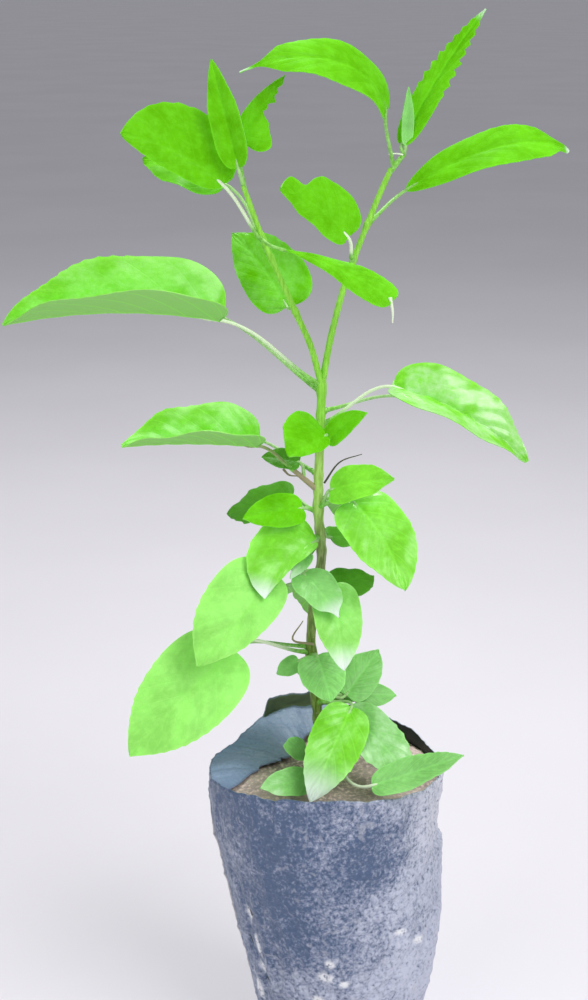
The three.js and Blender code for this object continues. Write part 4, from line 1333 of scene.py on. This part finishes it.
def fold_width(heading):
    """How far the film reaches inward over the soil."""
    to_edge = np.cos(np.radians(heading - FOLD_HEADING))
    radius = wall_at(RIM_HEIGHT)[0]
    reach = radius - FOLD_EDGE / np.maximum(to_edge, 1e-3)
    return np.where(to_edge <= 0, RIM_LIP, np.maximum(RIM_LIP, reach))


def stand_height(heading):
    """How far the film stands up over its fold at a heading."""
    start, end = STAND_HEADINGS
    plateau = smoothstep(heading, start - 3, start + 2) * (1 - smoothstep(heading, end - 2, end + 4))
    dip = STAND_DIP * np.sin(np.pi * np.clip((heading - start) / (end - start), 0, 1))
    return plateau * (STAND_HEIGHT - dip)


def round_the_wall(heading, height=0.0):
    """Points on the cylinder that the film's lumps are laid out on."""
    turn = np.radians(heading)
    return np.stack([NOISE_RADIUS * np.cos(turn), NOISE_RADIUS * np.sin(turn), height + 0 * turn], axis=-1)


def rim_height(heading):
    """Height of the rim at a heading, with its small irregularities."""
    wave = RIM_WAVE * np.cos(np.radians(2 * (heading - 90)))
    place = round_the_wall(heading)
    return RIM_HEIGHT + wave + 0.7 * noise(place, 7, 41) + 0.35 * noise(place, 2.5, 42)


def creases(heading, height, depth):
    """How far the film stands out, from its gathers, creases and dents."""
    turn = np.radians(heading)
    place = round_the_wall(heading, height)
    gather = WRINKLE * np.sin(WRINKLE_COUNT * turn) * (1 - height / RIM_HEIGHT) ** 2
    broad = noise(place * np.array([1, 1, 0.5]), 16, 11)
    bent = place + 4 * np.stack([noise(place, 11, seed) for seed in (12, 15, 16)], axis=-1)
    ridged = 1 - np.abs(noise(bent * np.array([1, 1, 0.4]), 8, 13))
    fine = 1 - np.abs(noise(bent * np.array([1, 1, 1.5]), 4.5, 14))
    relief = 0.9 * broad + 0.8 * (ridged**4 - 0.3) + 0.4 * (fine**4 - 0.3) + 0.22 * noise(place, 2.6, 17)
    for first, start, last, end, deep, half in CREASES:
        relief = relief - deep * np.exp(-(off_line(heading, height, first, start, last, end) / half) ** 2)
    side = hump(heading, STEP_HEADING, STEP_SPREAD)
    gathered = side * smoothstep(height, STEP_HEIGHT - 1.2, STEP_HEIGHT + 0.4)
    gathered = gathered * (1 - smoothstep(height, STEP_HEIGHT + 6, RIM_HEIGHT))
    pleats = side * smoothstep(height, STEP_HEIGHT - 4, STEP_HEIGHT + 4) * np.sin(turn * 62 + 0.12 * height)
    seam = SEAM_RISE * np.exp(-(((heading - SEAM_HEADING) / 0.9) ** 2)) * smoothstep(height, 12, 30)
    seam = seam * (1 - smoothstep(height, 118, 128))
    return gather + depth * relief - STEP_DEPTH * gathered + STEP_PLEATS * pleats + seam


def wall_distance(heading, other):
    """Distance along the wall, in mm, from one heading to another."""
    return ((heading - other + 180) % 360 - 180) * np.pi / 180 * WALL_RADIUS


def off_line(heading, height, first, start, last, end):
    """Distance on the wall, in mm, from a straight line between two headings and heights."""
    across = wall_distance(heading, first)
    width = wall_distance(last, first)
    rise = end - start
    share = np.clip((across * width + (height - start) * rise) / (width**2 + rise**2), 0, 1)
    return np.hypot(across - share * width, height - start - share * rise)


def bag_ring(heading, height, inset, depth):
    """A ring round the bag."""
    height = height + np.zeros_like(heading)
    radius, shift = wall_at(height)
    raised = smoothstep(height, PULL_START, RIM_HEIGHT)
    pull = FOLD_PULL * hump(heading, FOLD_HEADING, FOLD_PULL_SPREAD) * raised
    reach = radius + (creases(heading, height, depth) if depth else 0) - pull - inset
    turn = np.radians(heading)
    return np.stack([shift + reach * np.cos(turn), reach * np.sin(turn), height], axis=-1)


def outside_rings(heading, crest, depth):
    """Rings of the film from the middle of its foot up its outside to its top edge."""
    rings = []
    for part in np.linspace(0, 1, FOOT_ROWS):
        rings.append(bag_ring(heading, 0.0, FOOT_ROUND + FOOT_REACH * (1 - part), 0.0))
    for part in np.linspace(0, np.pi / 2, ROUND_ROWS)[1:]:
        height = FOOT_ROUND * (1 - np.cos(part))
        rings.append(bag_ring(heading, height, FOOT_ROUND * (1 - np.sin(part)), 0.3 * depth * part))
    for part in np.linspace(0, 1, WALL_ROWS)[1:]:
        height = FOOT_ROUND + (crest - RIM_ROUND - FOOT_ROUND) * part
        rings.append(bag_ring(heading, height, 0, depth * min(1.0, 0.5 + 4 * part)))
    rings.append(bag_ring(heading, crest, RIM_ROUND, depth))
    return rings


def standing_rings(heading, rim, crest, depth):
    """Rings down the inner side of the end that stands up."""
    rings = []
    for part in np.linspace(0, 1, STAND_ROWS)[1:]:
        height = crest + (rim - RIM_TURN - crest) * part
        rings.append(bag_ring(heading, height, FILM_THICKNESS + INSIDE_GAP * part, depth))
    return rings


def fold_rings(heading, rim, share, wide, depth):
    """Rings over the fold, from the rim to its ragged edge."""
    fold_top = SOIL_LEVEL + SOIL_BUMP + FOLD_CLEAR
    edge = (rim - RIM_DROP) * (1 - share) + fold_top * share
    place = round_the_wall(heading)
    ragged = share * (1.6 * noise(place, 6, 51) + 0.8 * noise(place, 2.2, 52))
    stood = bag_ring(heading, rim - RIM_TURN, FILM_THICKNESS + INSIDE_GAP, depth)
    inside = bag_ring(heading, edge, wide + ragged, 0.0)
    rings = []
    for part in np.linspace(0, 1, FOLD_ROWS)[1:]:
        ring = stood + (inside - stood) * part
        ring[:, 2] += share * (0.9 * np.sin(np.pi * part) + 0.6 * np.sin(np.pi * part) * noise(ring, 7, 21))
        rings.append(ring)
    return rings


def inside_rings(heading, rim, share, edge, depth):
    """Rings from the fold's edge back under it, down the inside wall and to the middle of the foot."""
    under = edge - np.array([0, 0, FILM_THICKNESS])
    inset = FILM_THICKNESS + INSIDE_GAP
    top = rim - UNDER_DROP
    below = bag_ring(heading, top, inset, depth)
    rings = [under]
    for part in np.linspace(0, 1, UNDER_ROWS)[1:]:
        ring = under + (below - under) * part
        ring[:, 2] += share * 0.7 * np.sin(np.pi * part)
        rings.append(ring)
    hidden = SOIL_EDGE - 6
    for part in np.linspace(0, 1, BEHIND_ROWS)[1:]:
        rings.append(bag_ring(heading, top + (hidden - top) * part, inset, depth))
    for height in np.linspace(hidden, FOOT_ROUND, INSIDE_ROWS)[1:]:
        rings.append(bag_ring(heading, height, 2 * FILM_THICKNESS, 0.3 * depth))
    rings.append(bag_ring(heading, FLOOR_THICKNESS, FOOT_ROUND + FOOT_REACH, 0.0))
    return rings


def dirt_share(heading, height):
    """How much white dirt lies on the film."""
    dirt = np.zeros(height.shape)
    for middle, level, wide_half, high_half in DIRT:
        across = wall_distance(heading, middle) / wide_half
        up = (height - level) / high_half
        dirt = np.maximum(dirt, 1 - smoothstep(np.hypot(across, up), 0.5, 1.3))
    return dirt


def build_bag(settings):
    """The film: outside wall, rim, standing end, fold over the soil and inside wall."""
    heading = np.arange(BAG_STEPS) * 360 / BAG_STEPS
    depth = settings.crease / MM
    rim = rim_height(heading)
    crest = rim + stand_height(heading)
    wide = fold_width(heading)
    share = np.minimum(1, (wide - RIM_LIP) / FOLD_EDGE)
    rings = outside_rings(heading, crest, depth)
    outside = len(rings)
    rings += standing_rings(heading, rim, crest, depth)
    stood = len(rings)
    rings += fold_rings(heading, rim, share, wide, depth)
    folded = len(rings)
    rings += inside_rings(heading, rim, share, rings[-1], depth)
    grid = np.array(rings)
    height = grid[:, :, 2]
    row = np.arange(len(rings))[:, None]
    out = row < outside
    # The standing end and the insides are marked for painted shade
    standing_shade = 0.5 * ((row >= outside) & (row < stood) & (stand_height(heading) > 0.5))
    bare = (share < 0.02) & ((heading < STAND_HEADINGS[0]) | (heading > BARE_HEADING))
    shaded_inside = np.maximum(standing_shade, (row > folded) | ((row > outside) & bare))
    # A painted highlight runs along the seam
    seam = np.exp(-(((heading - SEAM_HEADING) / 0.8) ** 2)) * out
    seam = seam * smoothstep(height, 25, 45) * (1 - smoothstep(height, 112, 124))
    smooth = ((row >= outside) & (row <= folded)) * np.ones(height.shape)
    marks = np.stack([0.8 * seam, dirt_share(heading, height) * out, smooth], axis=-1)
    draft = Draft()
    add_tube(draft, grid, inner=shaded_inside * np.ones(height.shape), marks=marks)
    draft.build("bag_film", film_material(settings), ["bag"], sharp=70)


def build_soil(settings):
    """The soil with its crumbs."""
    heading = np.arange(SOIL_STEPS) * 360 / SOIL_STEPS
    inset = FILM_THICKNESS + SOIL_GAP
    depth = settings.crease / MM
    rings = [bag_ring(heading, FLOOR_THICKNESS + 0.5, FOOT_ROUND + 20, 0.0)]
    for height in np.linspace(FOOT_ROUND + 2, SOIL_EDGE - 8, 6):
        rings.append(bag_ring(heading, height, inset + 2.5, 0.0))
    for height in (SOIL_EDGE - 3, SOIL_EDGE):
        rings.append(bag_ring(heading, height, inset, depth))
    edge = rings[-1]
    centre = np.array([edge[:, 0].mean(), edge[:, 1].mean(), SOIL_LEVEL])
    for part in np.linspace(0, 1, SOIL_ROWS)[1:-1]:
        ring = edge + (centre - edge) * part
        crumbs = 0.5 * noise(ring, 2.2, 31) + 0.35 * noise(ring, 1.0, 32)
        rise = (SOIL_LEVEL - SOIL_EDGE) * min(1.0, 8 * part)
        ring[:, 2] = SOIL_EDGE + rise + 0.9 * noise(ring, 9, 33) + np.abs(crumbs)
        rings.append(ring)
    draft = Draft()
    add_tube(draft, np.array(rings))
    draft.build("soil_crumbs", soil_material(settings), ["soil"], sharp=75)


def build_floor(settings):
    """A pale floor with a faint cloudiness."""
    mesh = bpy.data.meshes.new("floor")
    corners = [(x * FLOOR_REACH, y * FLOOR_REACH, 0) for x, y in ((-1, -1), (1, -1), (1, 1), (-1, 1))]
    mesh.from_pydata(corners, [], [(0, 1, 2, 3)])
    material, tree, shader = new_material("floor")
    cloudy = span(tree, cloud(tree, object_place(tree), 3.0, 4.0), 0.3, 0.7)
    shaded = opaque([0.96 * c for c in settings.floor])
    tree.links.new(mix(tree, cloudy, shaded, opaque(settings.floor)), shader.inputs["Base Color"])
    shader.inputs["Roughness"].default_value = 0.9
    mesh.materials.append(material)
    add_to_scene("floor", mesh)


def build_stage(settings):
    """Pale floor, soft lamps, sky and the camera of the photograph."""
    build_floor(settings)
    for name, place, size, share in LAMPS:
        light = bpy.data.lights.new(name, "AREA")
        light.size = size
        light.energy = share * settings.key
        aim = (Vector(LAMP_AIM) - Vector(place)).to_track_quat("-Z", "Y").to_euler()
        add_to_scene(name, light, place, aim)
    world = bpy.data.worlds.new("sky")
    world.use_nodes = True
    sky = world.node_tree.nodes["Background"]
    sky.inputs["Color"].default_value = SKY_COLOUR
    sky.inputs["Strength"].default_value = SKY_STRENGTH
    view = bpy.data.cameras.new("camera")
    view.lens = CAMERA_LENS
    view.sensor_width = SENSOR
    tilt = (math.radians(90 - CAMERA_PITCH), 0, 0)
    scene = bpy.context.scene
    scene.world = world
    scene.camera = add_to_scene("camera", view, Vector(CAMERA_PLACE) * MM, tilt)
    scene.view_settings.view_transform = "Standard"


class SHRUB_OT_bag(bpy.types.Operator):
    """Build the bag's film"""

    bl_idname = "shrub.bag"
    bl_label = "Bag"

    def execute(self, context):
        build_bag(context.scene.shrub_pot)
        return {"FINISHED"}


class SHRUB_OT_soil(bpy.types.Operator):
    """Build the soil in the bag"""

    bl_idname = "shrub.soil"
    bl_label = "Soil"

    def execute(self, context):
        build_soil(context.scene.shrub_pot)
        return {"FINISHED"}


class SHRUB_OT_limbs(bpy.types.Operator):
    """Build the trunk and the boughs"""

    bl_idname = "shrub.limbs"
    bl_label = "Trunk and boughs"

    def execute(self, context):
        build_limbs()
        return {"FINISHED"}


class SHRUB_OT_stalks(bpy.types.Operator):
    """Build the stalks and spurs"""

    bl_idname = "shrub.stalks"
    bl_label = "Stalks"

    def execute(self, context):
        build_stalks()
        return {"FINISHED"}


class SHRUB_OT_leaves(bpy.types.Operator):
    """Build the blades of all leaves"""

    bl_idname = "shrub.leaves"
    bl_label = "Leaves"

    def execute(self, context):
        build_leaves(context.scene.shrub_plant)
        return {"FINISHED"}


class SHRUB_OT_stage(bpy.types.Operator):
    """Set up floor, lamps and camera"""

    bl_idname = "shrub.stage"
    bl_label = "Stage"

    def execute(self, context):
        build_stage(context.scene.shrub_stage)
        return {"FINISHED"}


OPERATORS = (SHRUB_OT_bag, SHRUB_OT_soil, SHRUB_OT_limbs, SHRUB_OT_stalks, SHRUB_OT_leaves, SHRUB_OT_stage)
GROUPS = {"shrub_plant": ShrubSettings, "shrub_pot": PotSettings, "shrub_stage": StageSettings}


class SHRUB_PT_panel(bpy.types.Panel):
    """Buttons of the shrub"""

    bl_idname = "SHRUB_PT_panel"
    bl_label = "Potted hibiscus shrub"
    bl_space_type = "VIEW_3D"
    bl_region_type = "UI"
    bl_category = "Shrub"

    def draw(self, context):
        for operator in OPERATORS:
            self.layout.operator(operator.bl_idname)
        for name, group in GROUPS.items():
            settings = getattr(context.scene, name)
            for title in group.__annotations__:
                self.layout.prop(settings, title)


def register():
    """Registers the classes and the scene's settings."""
    for kind in (*GROUPS.values(), *OPERATORS, SHRUB_PT_panel):
        bpy.utils.register_class(kind)
    for name, group in GROUPS.items():
        setattr(bpy.types.Scene, name, bpy.props.PointerProperty(type=group))


def unregister():
    """Removes them again."""
    for name in GROUPS:
        delattr(bpy.types.Scene, name)
    for kind in reversed((*GROUPS.values(), *OPERATORS, SHRUB_PT_panel)):
        bpy.utils.unregister_class(kind)


def main():
    """Builds everything in order."""
    register()
    for operator in OPERATORS:
        group, name = operator.bl_idname.split(".")
        getattr(getattr(bpy.ops, group), name)()
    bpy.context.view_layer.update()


if __name__ == "__main__":
    main()
